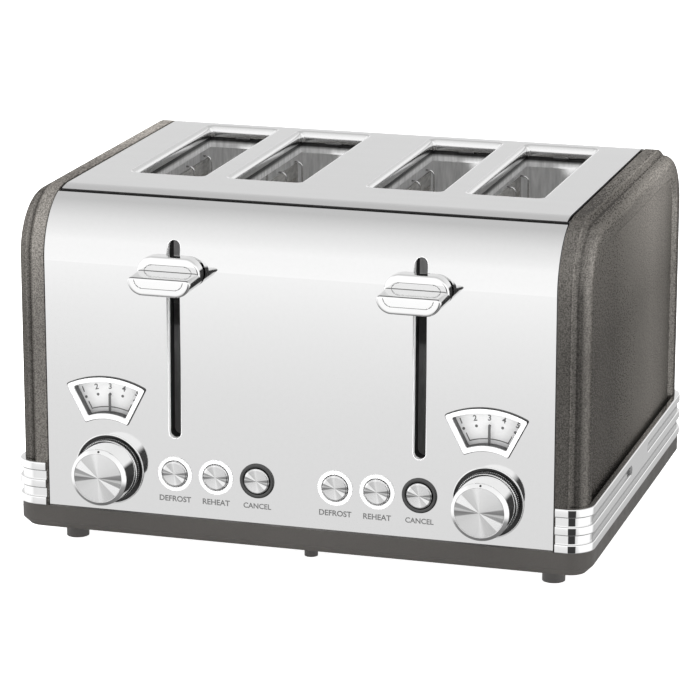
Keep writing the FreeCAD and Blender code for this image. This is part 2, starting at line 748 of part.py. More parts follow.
def make_button(across):
    cap = rod("y", across, "front_face - button_proud", "button_height", "button_radius",
              "button_proud + button_depth")
    stem = rod("y", across, behind("button_depth"), "button_height", "stem_radius",
               "stem_depth - button_depth")
    return join(cap, stem)


def make_buttons():
    order = (("left_defrost_button", "-button_high"), ("left_reheat_button", "-button_mid"),
             ("left_cancel_button", "-button_low"), ("right_defrost_button", "button_low"),
             ("right_reheat_button", "button_mid"), ("right_cancel_button", "button_high"))
    for label, across in order:
        node(label, make_button(across))


def make_lever_knobs():
    """Chrome lozenge: a shallow upper half, and a lower half that stands out as a finger shelf."""
    body = start_body("RightLever")
    outline = stadium_level("lever_across", "lever_height", "lever_half_width", "lever_half_height")
    pad(body, sketch_on(body, "XZ_Plane", "-(front_face - lever_back)", [outline]), "lever_lip - lever_back")
    shelf = "lever_height - lever_half_height + lever_shelf"
    above = "lever_height + lever_half_height + 2"
    ahead = "front_face - lever_lip - 2"
    scoop = [
        (ahead, shelf), ("front_face - lever_step - lever_root", shelf, "lever_root", 1),
        ("front_face - lever_step", add(shelf, "lever_root")), ("front_face - lever_step", above),
        (ahead, above),
    ]
    pocket(body, sketch_on(body, "YZ_Plane", "lever_across - 30", [scoop]), "60", True)
    hole = rectangle("lever_across - lever_arm_half", "lever_across + lever_arm_half",
                     "lever_height - lever_arm_rise", "lever_height + lever_arm_rise")
    pocket(body, sketch_on(body, "XZ_Plane", "-(front_face - lever_back) - 1", [hole]), "6 + 1", True)
    node("right_lever_knob", body)
    node("left_lever_knob", mirrored(body))


# ---------------------------------------------------------------- chassis

def make_chassis_floor():
    plate = block("-chassis_half", "chassis_half", behind("3"), "rear_face - 3", "floor_low",
                  "floor_low + sheet")
    windows = []
    for side in SIDES:
        low, high = ("tray_near + 1", "tray_far - 1") if side == "+" else ("-tray_far + 1", "-tray_near - 1")
        windows.append(block(low, high, behind("bulkhead_front + 3"), behind("bulkhead_rear - 3"),
                             "floor_low - 1", "floor_low + 3"))
    holes = [rod("z", across, behind(depth), "floor_low - 1", "screw_radius + snug", "4")
             for across, depth in screw_places()]
    node("chassis_floor", cut(plate, *windows, *holes))


def cage_places():
    """Pivot X of the eight guide cages, from left to right."""
    right = [combine % name for name in TOAST_SLOTS for combine in ("%s - cage_offset", "%s + cage_offset")]
    return ["-(%s)" % place_name for place_name in reversed(right)] + right


def bulkhead(depth):
    """Upright sheet with slots for the racks and bearing holes for the guide cages."""
    plate = block("-chassis_half", "chassis_half", behind(depth), behind("%s + sheet" % depth),
                  "floor_low + sheet", "bulkhead_top")
    tools = []
    for centre in slot_centres():
        tools.append(block("%s - rack_slot_half" % centre, "%s + rack_slot_half" % centre,
                           behind("%s - 2" % depth), behind("%s + 3" % depth), "floor_low + 5",
                            "rack_high + 14"))
    for across in cage_places():
        tools.append(rod("y", across, behind("%s - 2" % depth), "cage_pivot", "pivot_hole", "5"))
    return cut(plate, *tools)


def make_bulkheads():
    node("front_bulkhead", bulkhead("bulkhead_front"))
    node("rear_bulkhead", bulkhead("bulkhead_rear"))


def make_slot_frame():
    """Sheet under the top plate with a down-turned flange round each toast slot."""
    plate = block("-frame_half", "frame_half", behind("frame_front"), behind("frame_rear"),
                  "frame_low", "frame_low + sheet")

    def sleeve(centre, grow, low, high):
        half = "(slot_clear_half + %s)" % grow
        return block("%s - %s" % (centre, half), "%s + %s" % (centre, half), behind("slot_front - %s" % grow),
                     behind("slot_rear + %s" % grow), low, high)

    flanges = [sleeve(c, "0.8 + sheet * 0.8", "frame_low - frame_flange", "frame_low + sheet / 2")
               for c in slot_centres()]
    windows = [sleeve(c, "0.8", "frame_low - frame_flange - 1", "frame_low + 3") for c in slot_centres()]
    holes = [rod("z", signed(side, "lever_across"), behind("rod_depth"), "frame_low - 1",
                 "rod_radius + snug", "4") for side in SIDES]
    node("slot_frame", cut(join(plate, *flanges), *windows, *holes))


def make_guide_rods():
    rods = [rod("z", signed(side, "lever_across"), behind("rod_depth"), "floor_low + sheet", "rod_radius",
                "frame_low - floor_low") for side in SIDES]
    node("guide_rods", gather(*rods))


def board_places():
    """X of the near face of each right-hand heater board."""
    return ("board_inner", "(inner_slot + outer_slot) / 2 - board_sheet / 2", "board_outer")


def make_heaters():
    boards = [block(x, "%s + board_sheet" % x, behind("board_front"), behind("board_rear"), "board_low",
                    "board_high")
              for x in board_places()]
    node("heater_boards", both_sides(gather(*boards)))
    inner, middle, outer = board_places()
    faces = ("%s + board_sheet" % inner, "%s - ribbon_sheet" % middle, "%s + board_sheet" % middle,
             "%s - ribbon_sheet" % outer)
    ribbons = []
    rows = int(SIZES["ribbon_rows"])
    for x in faces:
        for number in range(rows):
            low = "board_low + 8 + %d * (board_high - board_low - 16 - ribbon_width) / %d" % (number,
                                                                                              rows - 1)
            ribbons.append(block(x, "%s + ribbon_sheet" % x, behind("board_front + 4"),
                                 behind("board_rear - 4"),
                                 low, "%s + ribbon_width" % low))
    node("heater_ribbons", both_sides(gather(*ribbons)))
    sheets = [block(x, "%s + reflector_sheet" % x, behind("board_front"), behind("board_rear"),
                    "board_low", "board_high + 4") for x in ("reflector_inner", "reflector_outer")]
    node("reflectors", both_sides(gather(*sheets)))


def make_electrics():
    board = block("pcb_near", "pcb_far", behind("board_depth"), behind("board_depth + pcb_sheet"),
                  "pcb_low", "pcb_high")
    hole = rod("y", "knob_across", behind("board_depth - 2"), "knob_height", "shaft_radius + 0.6", "6")
    node("control_boards", both_sides(cut(board, hole)))
    parts = []
    for across in BUTTONS:
        parts.append(block("%s - switch_half" % across, "%s + switch_half" % across, behind("switch_depth"),
                           behind("board_depth"), "button_height - switch_half",
                            "button_height + switch_half"))
    pot = rod("y", "knob_across", behind("board_depth + pcb_sheet"), "knob_height", "pot_radius",
              "pot_depth - board_depth - pcb_sheet")
    bore = rod("y", "knob_across", behind("board_depth"), "knob_height", "shaft_radius + snug", "20")
    parts.append(cut(pot, bore))
    node("switches_and_potentiometers", both_sides(gather(*parts)))
    core = block("magnet_across - magnet_half", "magnet_across + magnet_half", behind("rod_depth - 14"),
                 behind("rod_depth - 1"), "magnet_low", "magnet_high")
    node("magnets", both_sides(core))


def make_cord_gland():
    flange = rod("y", "0", "rear_face", "gland_height", "gland_flange", "gland_proud")
    sleeve = rod("y", "0", "rear_face - gland_depth", "gland_height", "gland_radius", "gland_depth")
    bore = rod("y", "0", "rear_face - 20", "gland_height", "gland_bore", "40")
    node("cord_gland", cut(join(flange, sleeve), bore))


# ---------------------------------------------------------------- lift carriages

def make_carriages():
    left, right = "lever_across - block_half", "lever_across + block_half"
    slider = block(left, right, behind("rod_depth - 7"), behind("rod_depth + 7"), "block_low", "block_high")
    arm = block("lever_across - lever_arm_half", "lever_across + lever_arm_half",
                "front_face - lever_back - 6",
                behind("rod_depth - 7"), "lever_height - lever_arm_rise", "lever_height + lever_arm_rise")
    cross = block("inner_slot - 5", "outer_slot + 5", behind("cross_depth"),
                  behind("cross_depth + cross_sheet"),
                  "cross_low", "block_low + 10")
    wing = block(right, "magnet_across + magnet_half", behind("rod_depth - 6"), behind("rod_depth - 2"),
                 "armature_low + armature_sheet", "block_low + 10")
    armature = block("magnet_across - magnet_half + 1", "magnet_across + magnet_half",
                     behind("rod_depth - 12"),
                     behind("rod_depth - 2"), "armature_low", "armature_low + armature_sheet")
    bore = rod("z", "lever_across", behind("rod_depth"), "block_low - 30", "rod_bore", "80")
    carriage = cut(join(slider, arm, cross, wing, armature), bore)
    node("right_carriage", carriage)
    node("left_carriage", mirrored(carriage))


def make_bread_racks():
    racks = []
    for centre in TOAST_SLOTS:
        bar = block("%s - rack_half" % centre, "%s + rack_half" % centre, behind("cross_depth + cross_sheet"),
                    behind("bulkhead_rear + 5"), "rack_low", "rack_high")
        wires = [rod("x", "%s - rack_reach" % centre, behind("cage_front + 8 + %d * rack_pitch" % number),
                     "rack_high - rack_wire", "rack_wire", "2 * rack_reach")
                 for number in range(int(SIZES["rack_wires"]))]
        racks.append(join(bar, *wires))
    rack = gather(*racks)
    node("right_bread_rack", rack)
    node("left_bread_rack", mirrored(rack))


def make_lift_springs():
    """Compression spring round each guide rod, under the carriage block."""
    helix = doc.addObject("Part::Helix", "SpringPath")
    helix.setExpression("Radius", bind("spring_radius"))
    helix.setExpression("Height", bind("block_low - spring_low - 2"))
    helix.setExpression("Pitch", bind("(block_low - spring_low - 2) / spring_turns"))
    place(helix, "lever_across", behind("rod_depth"), "spring_low")
    wire = doc.addObject("Part::Circle", "SpringSection")
    wire.setExpression("Radius", bind("spring_wire"))
    place(wire, "lever_across + spring_radius", behind("rod_depth"), "spring_low",
          FreeCAD.Rotation(FreeCAD.Vector(1, 0, 0), 90))
    doc.recompute()
    spring = doc.addObject("Part::Sweep", "Spring")
    spring.Sections = [wire]
    spring.Spine = (helix, ["Edge%d" % (i + 1) for i in range(len(helix.Shape.Edges))])
    spring.Solid = True
    spring.Frenet = True
    node("right_lift_spring", spring)
    node("left_lift_spring", mirrored(spring))


def make_guide_cages():
    """Wire screens that close on the bread; each turns about its lower rod and hooks outwards at the top."""
    for number, across in enumerate(cage_places(), start=1):
        pivot = rod("y", across, behind("bulkhead_front - 2"), "cage_pivot", "pivot_radius",
                    "bulkhead_rear - bulkhead_front + 5")
        tie = rod("y", across, behind("cage_front - 3"), "tie_height", "cage_wire",
                  "(cage_wires - 1) * cage_pitch + 6")
        outwards = number % 2 == 0
        hook_start = across if outwards else less(across, "cage_hook")
        wires = []
        for index in range(int(SIZES["cage_wires"])):
            along = behind("cage_front + %d * cage_pitch" % index)
            wires.append(rod("z", across, along, "cage_pivot", "cage_wire",
                             "cage_top - cage_pivot - cage_wire"))
            wires.append(rod("x", hook_start, along, "cage_top - cage_wire", "cage_wire * 0.99", "cage_hook"))
        node("guide_cage_%d" % number, join(pivot, tie, *wires))


# ---------------------------------------------------------------- crumb trays

def make_crumb_trays():
    rear = "rear_face + base_proud"
    tray = block("tray_near", "tray_far", behind("tray_front"), rear, "tray_low", "tray_high")
    scoop = block("tray_near + tray_wall", "tray_far - tray_wall", behind("tray_front + tray_wall"),
                  "rear_face - base_wall", "tray_low + tray_wall", "tray_high + 5")
    grip = block("tray_near - 0.5", "tray_far + 0.5", rear, "tray_grip_rear", "tray_low", "tray_grip_high")
    pull = block("tray_near + 30", "tray_far - 30", "rear_face + base_proud - 0.1", "tray_grip_rear - 1.6",
                 "tray_low - 1", "tray_low + 5")
    tray = cut(join(tray, grip), scoop, pull)
    node("right_crumb_tray", tray)
    node("left_crumb_tray", mirrored(tray))


# ---------------------------------------------------------------- build, check and export

MAKERS = (
    make_base_pan, make_feet, make_base_screws, make_front_panel, make_rear_panel, make_top_plate,
    make_top_gasket, make_side_covers, make_trim_bands, make_gauges, make_knob_collars,
    make_button_rings, make_lever_slot_liners, make_browning_controls, make_buttons, make_lever_knobs,
    make_chassis_floor, make_bulkheads, make_slot_frame, make_guide_rods, make_heaters, make_electrics,
    make_cord_gland, make_carriages, make_bread_racks, make_lift_springs, make_guide_cages,
    make_crumb_trays,
)
for maker in MAKERS:
    maker()
doc.recompute()

failed = [o.Label for o in doc.Objects if "Invalid" in o.State or "Error" in o.State]
if failed:
    raise RuntimeError("failed objects: %s" % failed)
os.makedirs("parts", exist_ok=True)
for label, piece in nodes.items():
    if piece.Shape.isNull() or not piece.Shape.isValid() or not piece.Shape.Solids:
        raise RuntimeError("bad shape: %s" % label)
for label, piece in nodes.items():
    piece.Shape.exportStep("parts/%s.step" % label)
    print("%-30s %3d solids %10.1f mm3" % (label, len(piece.Shape.Solids), piece.Shape.Volume))
print(len(nodes), "nodes")
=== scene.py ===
"""A four slot pop up toaster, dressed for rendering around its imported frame.

Lengths are in millimetres until mesh_piece() turns them into metres. X runs along the front,
Y from the front to the back, and Z up.
"""
import math

import bmesh
import bpy
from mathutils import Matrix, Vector


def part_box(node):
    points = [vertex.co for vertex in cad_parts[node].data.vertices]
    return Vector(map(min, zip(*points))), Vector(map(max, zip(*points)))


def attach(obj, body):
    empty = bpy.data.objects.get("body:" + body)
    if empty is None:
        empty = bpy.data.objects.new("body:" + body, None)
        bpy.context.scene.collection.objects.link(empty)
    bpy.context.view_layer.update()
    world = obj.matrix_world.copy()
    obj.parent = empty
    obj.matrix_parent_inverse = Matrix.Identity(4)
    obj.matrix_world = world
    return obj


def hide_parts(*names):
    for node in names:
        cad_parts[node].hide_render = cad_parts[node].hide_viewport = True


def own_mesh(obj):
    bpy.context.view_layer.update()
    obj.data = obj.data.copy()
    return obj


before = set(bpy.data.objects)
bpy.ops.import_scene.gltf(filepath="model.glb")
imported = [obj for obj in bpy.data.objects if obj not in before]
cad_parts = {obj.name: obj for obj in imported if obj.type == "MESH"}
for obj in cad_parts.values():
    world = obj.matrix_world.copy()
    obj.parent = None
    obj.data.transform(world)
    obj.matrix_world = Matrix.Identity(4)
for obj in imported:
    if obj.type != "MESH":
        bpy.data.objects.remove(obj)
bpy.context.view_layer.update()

MM = 0.001


# ---- sizes

def extent(node):
    """Lowest and highest corner of a CAD node, in millimetres."""
    low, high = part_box(node)
    return low / MM, high / MM


def middle(node):
    low, high = extent(node)
    return (low + high) / 2


(_, FRONT, PANEL_LOW), (PANEL_HALF, _, _) = extent("front_panel")
REAR = extent("rear_panel")[1].y
TOP_HALF, _, TOP = extent("top_plate")[1]
BEND = 36.5
SHEET = 1.0
SEAM_ANGLE = 71.0
SEAM_HALF = 2.4
ARC_HEIGHT = TOP - BEND
FRONT_ARC = FRONT + BEND
REAR_ARC = REAR - BEND


# ---- mesh helpers

def add_object(name, data):
    made = bpy.data.objects.new(name, data)
    bpy.context.scene.collection.objects.link(made)
    return made


def evaluated_mesh(piece):
    """A new mesh of what a piece's modifiers, or a curve's or text's settings, make of it."""
    bpy.context.view_layer.update()
    return bpy.data.meshes.new_from_object(piece.evaluated_get(bpy.context.evaluated_depsgraph_get()))


def mesh_from_curve(curve):
    holder = add_object(curve.name + "_holder", curve)
    mesh = evaluated_mesh(holder)
    bpy.data.objects.remove(holder)
    return mesh


def mesh_piece(name, points, faces, turn_outward=True):
    """A new object from points in millimetres, with doubled points merged."""
    mesh = bpy.data.meshes.new(name)
    mesh.from_pydata([tuple(c * MM for c in p) for p in points], [], faces)
    work = bmesh.new()
    work.from_mesh(mesh)
    bmesh.ops.remove_doubles(work, verts=work.verts, dist=1e-7)
    bmesh.ops.dissolve_degenerate(work, edges=work.edges, dist=1e-8)
    if turn_outward:
        bmesh.ops.recalc_face_normals(work, faces=work.faces)
    work.to_mesh(mesh)
    work.free()
    return add_object(name, mesh)


def arc(centre, radius, start, end, steps):
    """Points along a circular arc between two angles in degrees, both ends included."""
    angles = [math.radians(start + (end - start) * i / steps) for i in range(steps + 1)]
    return [(centre[0] + radius * math.cos(a), centre[1] + radius * math.sin(a)) for a in angles]


def rounded_box(x_low, x_high, y_low, y_high, radius, steps=8):
    """Outline of a rectangle with round corners."""
    corners = (
        (x_high - radius, y_low + radius, -90), (x_high - radius, y_high - radius, 0),
        (x_low + radius, y_high - radius, 90), (x_low + radius, y_low + radius, 180),
    )
    return [p for x, y, start in corners for p in arc((x, y), radius, start, start + 90, steps)]


def upright_slot(x, low, high, half, steps=16):
    """Outline of an upright slot with round ends."""
    return arc((x, high - half), half, 0, 180, steps) + arc((x, low + half), half, 180, 360, steps)


PLACES = {
    "x": lambda u, v, w: (w, u, v),
    "y": lambda u, v, w: (u, w, v),
    "z": lambda u, v, w: (u, v, w),
}


def prism(name, outline, low, high, axis):
    """A closed outline drawn across an axis, and drawn out along it from low to high."""
    place = PLACES[axis]
    count = len(outline)
    points = [place(u, v, w) for w in (low, high) for u, v in outline]
    faces = [list(range(count)), list(range(2 * count - 1, count - 1, -1))]
    for i in range(count):
        j = (i + 1) % count
        faces.append((i, j, count + j, count + i))
    return mesh_piece(name, points, faces)


def loft(name, rings, loop=False):
    """Quads between closed rings of points, capped at both ends, or with loop joined end to end."""
    count = len(rings[0])
    points = [p for ring in rings for p in ring]
    faces = []
    for r in range(len(rings) if loop else len(rings) - 1):
        near = r * count
        far = (r + 1) % len(rings) * count
        for i in range(count):
            j = (i + 1) % count
            faces.append((near + i, near + j, far + j, far + i))
    if not loop:
        faces.append(list(range(count)))
        faces.append(list(range(len(points) - 1, len(points) - count - 1, -1)))
    return mesh_piece(name, points, faces)


def lathe(name, profile, x, z, steps=96, teeth=0):
    """A turned part about a level axis, from (radius, distance ahead of the front face) points.

    A third number makes that ring wavy, with teeth of that depth.
    """
    rings = []
    for radius, proud, *tooth in profile:
        depth = tooth[0] if tooth else 0.0
        ring = []
        for i in range(steps):
            a = 2 * math.pi * i / steps
            reach = radius - depth * (0.5 + 0.5 * math.cos(teeth * a))
            ring.append((x + reach * math.cos(a), FRONT - proud, z + reach * math.sin(a)))
        rings.append(ring)
    return loft(name, rings)


def tube(name, routes, radius):
    """Round wires along routes of points in millimetres, as one mesh."""
    curve = bpy.data.curves.new(name, "CURVE")
    curve.dimensions = "3D"
    curve.bevel_depth = radius * MM
    curve.bevel_resolution = 2
    curve.use_fill_caps = True
    for route in routes:
        spline = curve.splines.new("POLY")
        spline.points.add(len(route) - 1)
        for point, place in zip(spline.points, route):
            point.co = (place[0] * MM, place[1] * MM, place[2] * MM, 1.0)
    return add_object(name, mesh_from_curve(curve))


def carve(piece, tools):
    """Cuts the tools out of the piece and removes them."""
    for tool in tools:
        change = piece.modifiers.new("carve", "BOOLEAN")
        change.operation = "DIFFERENCE"
        change.solver = "EXACT"
        change.object = tool
    mesh = evaluated_mesh(piece)
    piece.modifiers.clear()
    piece.data = mesh
    for tool in tools:
        bpy.data.objects.remove(tool)


def merge(name, pieces):
    """Joins several pieces into one object."""
    points = []
    faces = []
    for piece in pieces:
        start = len(points)
        points += [tuple(v.co / MM) for v in piece.data.vertices]
        faces += [[start + i for i in face.vertices] for face in piece.data.polygons]
        bpy.data.objects.remove(piece)
    return mesh_piece(name, points, faces, turn_outward=False)


def finish(piece, finish_name, body="housing", replaces=(), bevel=0.0, sharp=32.0):
    """Smooth shading, worn edges, a finish from FINISHES, and the body that the piece rides on."""
    piece.data.materials.clear()
    piece.data.materials.append(FINISHES[finish_name])
    piece.data.shade_smooth()
    piece.data.set_sharp_from_angle(angle=math.radians(sharp))
    if bevel:
        edge = piece.modifiers.new("edge", "BEVEL")
        edge.width = bevel * MM
        edge.segments = 3
        edge.limit_method = "ANGLE"
        edge.angle_limit = math.radians(sharp)
        edge.harden_normals = False
        edge.use_clamp_overlap = True
    level = piece.modifiers.new("level", "WEIGHTED_NORMAL")
    level.keep_sharp = True
    level.weight = 80
    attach(piece, body)
    if replaces:
        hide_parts(*replaces)


# ---- materials


def tone(value):
    """Linear brightness of a display value from 0 to 255."""
    share = value / 255
    return share / 12.92 if share <= 0.04045 else ((share + 0.055) / 1.055) ** 2.4


def new_material(name):
    made = bpy.data.materials.new(name)
    made.use_nodes = True
    tree = made.node_tree
    return made, tree, tree.nodes["Principled BSDF"]


def connect(tree, socket, source):
    """Gives a socket a constant, or links another node's output to it."""
    if isinstance(source, (int, float, tuple)):
        socket.default_value = source
    else:
        tree.links.new(source, socket)


def feed(tree, node, sources):
    for name, source in sources.items():
        connect(tree, node.inputs[name], source)


def math_node(tree, operation, *sources):
    made = tree.nodes.new("ShaderNodeMath")
    made.operation = operation
    for socket, source in zip(made.inputs, sources):
        connect(tree, socket, source)
    return made.outputs["Value"]


def times(tree, first, second):
    """Product of two colours."""
    made = tree.nodes.new("ShaderNodeVectorMath")
    made.operation = "MULTIPLY"
    connect(tree, made.inputs[0], first)
    connect(tree, made.inputs[1], second)
    return made.outputs["Vector"]


def split(tree, output):
    """The X, Y and Z of one of the texture coordinates."""
    coordinates = tree.nodes.new("ShaderNodeTexCoord")
    made = tree.nodes.new("ShaderNodeSeparateXYZ")
    tree.links.new(coordinates.outputs[output], made.inputs["Vector"])
    return made.outputs


def noise(tree, grain, stretch=(1, 1, 1), detail=3.0):
    """A noise texture fixed to the object, in cycles per metre."""
    coordinates = tree.nodes.new("ShaderNodeTexCoord")
    mapping = tree.nodes.new("ShaderNodeMapping")
    texture = tree.nodes.new("ShaderNodeTexNoise")
    feed(tree, mapping, {"Vector": coordinates.outputs["Object"], "Scale": stretch})
    feed(tree, texture, {
        "Vector": mapping.outputs["Vector"], "Scale": grain, "Detail": detail, "Roughness": 0.55})
    return texture.outputs["Fac"]


def ramp(tree, source, stops, interpolation="LINEAR"):
    """A colour ramp with (place, grey or colour) stops."""
    made = tree.nodes.new("ShaderNodeValToRGB")
    made.color_ramp.interpolation = interpolation
    elements = made.color_ramp.elements
    while len(elements) < len(stops):
        elements.new(0.5)
    for element, (place, colour) in zip(elements, stops):
        element.position = place
        shade = colour if isinstance(colour, tuple) else (colour,) * 3
        element.color = (*shade, 1.0)
    tree.links.new(source, made.inputs["Fac"])
    return made.outputs["Color"]


def spread(tree, source, low, high):
    """Maps the middle of a noise to a range of values."""
    made = tree.nodes.new("ShaderNodeMapRange")
    feed(tree, made, {"Value": source, "From Min": 0.3, "From Max": 0.7, "To Min": low, "To Max": high})
    return made.outputs["Result"]


def bump(tree, shader, source, depth, strength=0.5):
    """Relief of that depth in millimetres."""
    made = tree.nodes.new("ShaderNodeBump")
    feed(tree, made, {"Height": source, "Strength": strength, "Distance": depth * MM})
    tree.links.new(made.outputs["Normal"], shader.inputs["Normal"])


def plain_finish(name, colour, roughness, metallic=0.0, grain=900.0, mottle=0.05, relief=0.0,
                 stretch=(1, 1, 1), wear=0.12, specular=0.5, glow=0.0):
    """Mottled colour, uneven gloss and fine relief: moulded plastic, rubber, sheet or paint. Glow paints
    light in as emission.
    """
    made, tree, shader = new_material(name)
    fine = noise(tree, grain, stretch)
    broad = noise(tree, grain / 25, stretch, detail=2.0)
    colour = colour if isinstance(colour, tuple) else (colour,) * 3
    dark = tuple(c * (1 - mottle) for c in colour)
    light = tuple(c * (1 + mottle) for c in colour)
    feed(tree, shader, {
        "Base Color": ramp(tree, fine, [(0.3, dark), (0.7, light)]),
        "Roughness": spread(tree, broad, roughness * (1 - wear), roughness * (1 + wear)),
        "Metallic": metallic, "Specular IOR Level": specular,
        "Emission Color": (*light, 1), "Emission Strength": glow})
    if relief:
        bump(tree, shader, fine, relief)
    return made


def flake_finish(name, strip_painted_sheen, shade):
    """Metallic paint: fine flakes, with painted light that makes it paler on the rounded edges and towards
    the top of the back.
    """
    made, tree, shader = new_material(name)
    flakes = noise(tree, FLAKE_GRAIN, (1, 0.3, 1), detail=1.0)
    colour = [c * shade for c in PAINT]
    dark, light = (tuple(c * share for c in colour) for share in FLAKE_RANGE)
    paint = ramp(tree, flakes, [(0.36, dark), (0.64, light)])
    place, facing = split(tree, "Object"), split(tree, "Normal")
    along = math_node(tree, "ADD", math_node(tree, "MULTIPLY", place["Y"], 3.0), 0.5)
    rise = math_node(tree, "MULTIPLY", place["Z"], 4.0)
    aside = math_node(tree, "ABSOLUTE", facing["X"])
    # painted light: paler towards the back and the top, and by how far a face looks sideways
    for share, stops in ((along, PAINTED_LIGHT_ALONG), (rise, PAINTED_LIGHT_RISE), (aside, [(0.0, strip_painted_sheen)] + PAINTED_SHEEN_FLOP)):
        paint = times(tree, paint, ramp(tree, share, stops))
    gain = tree.nodes.new("ShaderNodeVectorMath")
    gain.operation = "SCALE"
    connect(tree, gain.inputs[0], paint)
    gain.inputs["Scale"].default_value = PAINT_GAIN
    bump(tree, shader, flakes, 0.002)
    feed(tree, shader, {
        "Base Color": gain.outputs["Vector"], "Roughness": spread(tree, noise(tree, 60), 0.38, 0.42),
        "Metallic": 0.8, "Specular IOR Level": 0.1, "Specular Tint": (0.15, 0.15, 0.15, 1)})
    return made


def wall_finish(name):
    """Bright sheet deep in the slots, with painted light: it glows faintly, is painted dark along the top as
    shade, and has a glowing painted highlight patch near the top of each slot's far wall.
    """
    made, tree, shader = new_material(name)
    grain = noise(tree, 60, (6, 6, 1), detail=2.0)
    place = split(tree, "Object")
    rise = math_node(tree, "MULTIPLY", place["Z"], 4.0)
    colour = times(tree, ramp(tree, grain, [(0.3, 0.4), (0.7, 0.7)]), ramp(tree, rise, WALL_TOP_PAINTED_SHADE))
    across = math_node(tree, "ADD", math_node(tree, "DIVIDE", place["X"], WALL_SPAN * MM), 0.5)
    peaks = []
    for x in HIGHLIGHT_PATCH_PLACES:
        centre, half = x / WALL_SPAN + 0.5, HIGHLIGHT_PATCH_HALF / WALL_SPAN
        peaks += [(centre + half * share, value) for share, value in HIGHLIGHT_PATCH_ACROSS]
    column, row = ramp(tree, across, peaks, "EASE"), ramp(tree, rise, HIGHLIGHT_PATCH_RISE, "EASE")
    highlight_patch = math_node(tree, "MULTIPLY", column, row)
    light = math_node(tree, "ADD", math_node(tree, "MULTIPLY", highlight_patch, 0.6), ramp(tree, rise, WALL_PAINTED_GLOW))
    feed(tree, shader, {"Base Color": colour, "Metallic": 0.55, "Roughness": 0.3,
                        "Emission Color": (1, 1, 1, 1), "Emission Strength": light})
    bump(tree, shader, grain, 0.01)
    return made


def spun_finish(name, half_turn, roughness):
    """Face metal turned on a lathe, with painted reflection: light and dark wedges about the middle, painted
    into the colour, that repeat each half turn.
    """
    made, tree, shader = new_material(name)
    place = split(tree, "Generated")
    across, up = (math_node(tree, "SUBTRACT", place[axis], 0.5) for axis in "XZ")
    share = math_node(tree, "DIVIDE", math_node(tree, "ARCTAN2", up, across), math.pi)
    wrapped = math_node(tree, "FRACT", math_node(tree, "ADD", share, 2.0))
    # painted reflection: the colour turns light and dark with the angle round the middle
    painted_wedges = ramp(tree, wrapped, [(a / 180, tone(v)) for a, v in half_turn], "EASE")
    rings = tree.nodes.new("ShaderNodeTexWave")
    rings.wave_type = "RINGS"
    rings.rings_direction = "Y"
    coordinates = tree.nodes.new("ShaderNodeTexCoord")
    centred = tree.nodes.new("ShaderNodeMapping")
    feed(tree, centred, {"Vector": coordinates.outputs["Generated"], "Location": (-0.5, -0.5, -0.5)})
    feed(tree, rings, {"Vector": centred.outputs["Vector"], "Scale": 14.0, "Distortion": 0.6, "Detail": 2.0})
    gloss = spread(tree, rings.outputs["Fac"], roughness * 0.9, roughness * 1.1)
    feed(tree, shader, {"Base Color": painted_wedges, "Roughness": gloss, "Metallic": 1.0})
    bump(tree, shader, rings.outputs["Fac"], 0.01, 0.25)
    return made


PAINTED_REFLECTION_WEDGES = [  # angle in degrees, and painted reflection brightness of the turned face out of 255
    (0, 132), (10, 146), (15, 218), (50, 226), (84, 230), (96, 240), (112, 214), (134, 208),
    (138, 250), (157, 252), (161, 164), (170, 172), (172, 210), (177, 200), (180, 132),
]

# Stops of colour ramps, which paint light and shade into the covers and the slot walls. Along is 3 times Y in
# metres and a half more, rise is 4 times Z in metres, and flop is how far a face looks sideways.
PAINT = (0.135, 0.127, 0.117)
PAINT_GAIN = 5.1
PAINTED_LIGHT_ALONG = [(0.08, 0.5), (0.38, 0.5), (0.68, 1.0), (0.78, 0.9), (0.87, 0.52), (0.92, 0.5)]
PAINTED_LIGHT_RISE = [(0.52, 0.62), (0.74, 1.0)]
PAINTED_SHEEN_FLOP = [(0.35, 0.45), (0.6, 0.58), (0.8, 0.65), (1.0, 0.667)]
FLAKE_GRAIN = 1500
FLAKE_RANGE = (0.6, 1.4)

# where the slot walls glow, and where their painted highlight patches and painted top shade lie
WALL_SPAN = 260.0
HIGHLIGHT_PATCH_PLACES = (-92.7, -35.6, 45.6, 102.7)
WALL_TOP_PAINTED_SHADE = [(0.77, 1.0), (0.777, 0.08)]
WALL_PAINTED_GLOW = [(0.5, 0.03), (0.65, 0.1), (0.769, 0.13), (0.776, 0.0)]
HIGHLIGHT_PATCH_HALF = 11.0
HIGHLIGHT_PATCH_ACROSS = ((-1.0, 0.0), (-0.3, 1.0), (0.4, 1.0), (1.0, 0.0))
HIGHLIGHT_PATCH_RISE = [(0.715, 0.0), (0.742, 1.0), (0.76, 1.0), (0.769, 0.3), (0.774, 0.0)]

